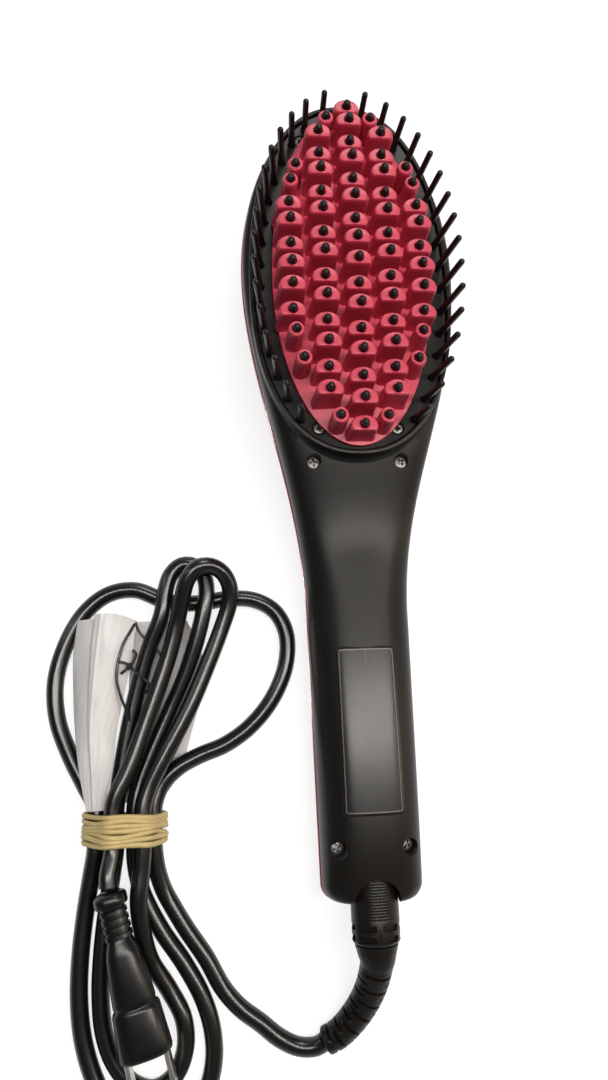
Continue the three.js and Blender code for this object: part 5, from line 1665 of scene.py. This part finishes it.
zinc = metal("dull_zinc", (0.22, 0.215, 0.21), (0.14, 0.135, 0.13), (0.34, 0.54), streak=1500.0, relief=0.15)
neck_x, neck_y, neck_top = NECK_SCREW
end_x, end_y, end_top = HANDLE_SCREW
screws(
    "case_screws",
    [
        ((-neck_x, neck_y, neck_top), 0.1), ((neck_x, neck_y, neck_top), 0.7),
        ((-end_x, end_y, end_top), 0.35), ((end_x, end_y, end_top), 1.1),
    ],
    screw_head(CASE_HEAD_RADIUS, CASE_HEAD_HEIGHT, CASE_SLOT),
    ("neck_screw_left", "neck_screw_right", "handle_screw_left", "handle_screw_right"),
)
screws(
    "ring_screws",
    [((x, y, RING_TOP), 0.4 + i) for i, (x, y) in enumerate(RING_SCREWS)],
    screw_head(RING_HEAD_RADIUS, RING_HEAD_HEIGHT, RING_SLOT),
    [f"ring_screw_{level}_{side}" for level in ("lower", "upper") for side in ("left", "right")],
)


# Swivel collar

RIDGES, RIDGE_PITCH, FIRST_RIDGE_Y, RIDGE_DEPTH = 15, 0.9, -151.2, 0.035
SLOTS_IN_ROW = 6
SLOT_ROW_YS = (-156.9, -153.55)
SLOT_HALF_LENGTH, SLOT_HALF_WIDTH, SLOT_CORNER, SLOT_DEPTH = 3.1, 0.95, 0.7, 1.35
GROOVE_RADIUS, FLANGE_RADIUS, SPINDLE_RADIUS, SPINDLE_END_Y = 5.4, 7.4, 4.0, -118.0

# Radius and place of the collar's rounded outer end
COLLAR_END = [(0.0, -159.3), (6.7, -159.3), (7.2, -159.1), (7.6, -158.7), (7.9, -158.2), (8.0, -157.9)]


def collar_profile():
    """The rounded end, fine ridges, the groove in the housing's rib, the inner flange and the spindle."""
    valley = COLLAR_RADIUS - RIDGE_DEPTH
    profile = list(COLLAR_END)
    for ridge_number in range(RIDGES):
        start = FIRST_RIDGE_Y + RIDGE_PITCH * ridge_number
        profile += [(COLLAR_RADIUS, start), (valley, start + 0.12), (valley, start + 0.33)]
        profile.append((COLLAR_RADIUS, start + 0.45))
    profile += [(COLLAR_RADIUS, -137.25), (7.8, -137.0), (GROOVE_RADIUS, -137.0), (GROOVE_RADIUS, -135.0)]
    profile += [(FLANGE_RADIUS, -135.0), (FLANGE_RADIUS, -133.0), (SPINDLE_RADIUS, -133.0)]
    return profile + [(SPINDLE_RADIUS, SPINDLE_END_Y), (0.0, SPINDLE_END_Y)]


def swivel_collar():
    collar = build("collar", [turned_along_y(collar_profile(), 72, COLLAR_Z)])
    outline = rounded_box(SLOT_HALF_LENGTH, -SLOT_HALF_WIDTH, SLOT_HALF_WIDTH, SLOT_CORNER, 6)
    slot_shape = build("slot_shape", [prism(outline, -SLOT_DEPTH, 1.0)], local=True)
    places = []
    for y in SLOT_ROW_YS:
        for turn in range(SLOTS_IN_ROW):
            angle = math.tau * (turn + 0.5) / SLOTS_IN_ROW
            direction = (math.sin(angle), 0.0, math.cos(angle))
            point = (COLLAR_RADIUS * direction[0], y, COLLAR_Z + COLLAR_RADIUS * direction[2])
            places.append((point, direction, 0.0))
    carve(collar, copies("slots", places, slot_shape, FINISH["soft_black"]))
    return piece(collar, "soft_black", ("swivel_collar",), "cord_swivel", sharp=32)


swivel_collar()


# CAD nodes that stay, by the beginnings of their names

KEPT = {
    "steel": ("thermal_fuse", "switch_", "plate_screw", "board_screw"),
    "brass": ("slip_ring", "contact_finger"),
    "ceramic": ("heater_left", "heater_right", "carrier_plate", "display_module", "contact_block"),
    "board_green": ("control_board",),
    "relay_blue": ("power_relay", "mains_wire_neutral", "heater_wire_neutral"),
    "wire_red": ("mains_wire_live", "heater_wire_live"),
    "dark_gloss": ("filter_capacitor", "thermistor"),
}
for finish_name, beginnings in KEPT.items():
    for node_name, node in frame["nodes"].items():
        if node_name.startswith(beginnings) and not node.hide_render:
            for material_slot in node.material_slots:
                material_slot.material = FINISH[finish_name]


# Stage

FLOOR_HALF = 3.0
WHITE = (1.0, 1.0, 1.0, 1.0)
FLOOR_GREY = (0.30, 0.30, 0.30, 1.0)
LEFT_WALL = (0.20, 0.20, 0.21, 1.0)
MIDDLE_WALL = (0.9, 0.9, 0.9, 1.0)
RIGHT_WALL = (0.50, 0.33, 0.19, 1.0)
AMBIENT = 0.10


def seen_rays(tree):
    """1 for rays from the camera, mirrors and glass, and 0 for the rest."""
    rays = tree.nodes.new("ShaderNodeLightPath")
    total = rays.outputs["Is Camera Ray"]
    for label in ("Is Glossy Ray", "Is Transmission Ray"):
        node = tree.nodes.new("ShaderNodeMath")
        node.operation = "MAXIMUM"
        tree.links.new(total, node.inputs[0])
        tree.links.new(rays.outputs[label], node.inputs[1])
        total = node.outputs["Value"]
    return total


def floor_material():
    """Pale grey under the lamps, and lit towards white for the camera, a little more further out."""
    material, tree, shader = new_material("floor_white")
    shader.inputs["Base Color"].default_value = FLOOR_GREY
    shader.inputs["Roughness"].default_value = 0.9
    shader.inputs["Specular IOR Level"].default_value = 0.1
    shader.inputs["Emission Color"].default_value = WHITE
    away = tree.nodes.new("ShaderNodeVectorMath")
    away.operation = "LENGTH"
    tree.links.new(tree.nodes.new("ShaderNodeTexCoord").outputs["Object"], away.inputs[0])
    glow = tree.nodes.new("ShaderNodeMapRange")
    glow.interpolation_type = "SMOOTHSTEP"
    glow.inputs["From Min"].default_value = 0.25
    glow.inputs["From Max"].default_value = 1.8
    glow.inputs["To Min"].default_value = 0.77
    glow.inputs["To Max"].default_value = 0.90
    tree.links.new(away.outputs["Value"], glow.inputs["Value"])
    strength = tree.nodes.new("ShaderNodeMath")
    strength.operation = "MULTIPLY"
    tree.links.new(seen_rays(tree), strength.inputs[0])
    tree.links.new(glow.outputs["Result"], strength.inputs[1])
    tree.links.new(strength.outputs["Value"], shader.inputs["Emission Strength"])
    return material


def floor():
    """A pale floor that the camera sees near white, with the object's shadow on it."""
    corners = [(x * FLOOR_HALF, y * FLOOR_HALF, 0) for x, y in ((-1, -1), (1, -1), (1, 1), (-1, 1))]
    mesh = bpy.data.meshes.new("floor")
    mesh.from_pydata(corners, [], [(0, 1, 2, 3)])
    mesh.materials.append(floor_material())
    link("floor", mesh)


def world():
    """A white backdrop all round whose reflection darkens overhead and is tinted at the sides."""
    scene_world = bpy.data.worlds.new("studio")
    scene_world.use_nodes = True
    tree = scene_world.node_tree
    background = tree.nodes["Background"]
    camera_ray = tree.nodes.new("ShaderNodeLightPath").outputs["Is Camera Ray"]
    direction = tree.nodes.new("ShaderNodeSeparateXYZ")
    tree.links.new(tree.nodes.new("ShaderNodeTexCoord").outputs["Generated"], direction.inputs["Vector"])
    ceiling = tree.nodes.new("ShaderNodeMapRange")
    ceiling.inputs["From Min"].default_value = 0.15
    ceiling.inputs["From Max"].default_value = 0.75
    ceiling.inputs["To Min"].default_value = 1.0
    ceiling.inputs["To Max"].default_value = 0.15
    tree.links.new(direction.outputs["Z"], ceiling.inputs["Value"])
    seen = tree.nodes.new("ShaderNodeMath")
    seen.operation = "MAXIMUM"
    tree.links.new(ceiling.outputs["Result"], seen.inputs[0])
    tree.links.new(camera_ray, seen.inputs[1])
    strength = tree.nodes.new("ShaderNodeMix")
    strength.inputs["A"].default_value = AMBIENT
    tree.links.new(seen_rays(tree), strength.inputs["Factor"])
    tree.links.new(seen.outputs["Value"], strength.inputs["B"])
    across = tree.nodes.new("ShaderNodeMapRange")
    across.inputs["From Min"].default_value = -1.0
    tree.links.new(direction.outputs["X"], across.inputs["Value"])
    walls = tree.nodes.new("ShaderNodeValToRGB")
    walls.color_ramp.elements[0].color = LEFT_WALL
    walls.color_ramp.elements[1].color = RIGHT_WALL
    walls.color_ramp.elements.new(0.5).color = MIDDLE_WALL
    tree.links.new(across.outputs["Result"], walls.inputs["Fac"])
    shown = tree.nodes.new("ShaderNodeMix")
    shown.data_type = "RGBA"
    shown.inputs["B"].default_value = WHITE
    tree.links.new(camera_ray, shown.inputs["Factor"])
    tree.links.new(walls.outputs["Color"], shown.inputs["A"])
    tree.links.new(shown.outputs["Result"], background.inputs["Color"])
    tree.links.new(strength.outputs["Result"], background.inputs["Strength"])
    bpy.context.scene.world = scene_world


def lamp(name, place, aim, size, power, colour):
    """An area lamp in metres and watts, turned towards its aim."""
    data = bpy.data.lights.new(name, "AREA")
    data.shape = "RECTANGLE"
    data.size, data.size_y = size
    data.energy = power
    data.color = colour
    obj = link(name, data)
    obj.location = place
    obj.rotation_euler = (Vector(place) - Vector(aim)).to_track_quat("Z", "Y").to_euler()


floor()
world()
lamp("overhead", (0.20, -0.02, 1.05), (0.0, -0.02, 0.0), (0.11, 1.45), 14.5, (1.0, 0.96, 0.91))
lamp("back_key", (0.20, 1.0, 0.95), (0.0, 0.0, 0.0), (0.45, 0.35), 5.2, (1.0, 0.98, 0.95))
lamp("left_window", (-0.95, 0.45, 0.80), (-0.05, 0.0, 0.0), (0.08, 0.9), 1.3, (0.95, 0.98, 1.0))
lamp("right_warm", (1.1, -0.1, 0.55), (0.0, 0.0, 0.02), (0.2, 0.9), 2.2, (1.0, 0.84, 0.68))

bpy.context.scene.view_settings.view_transform = "Standard"
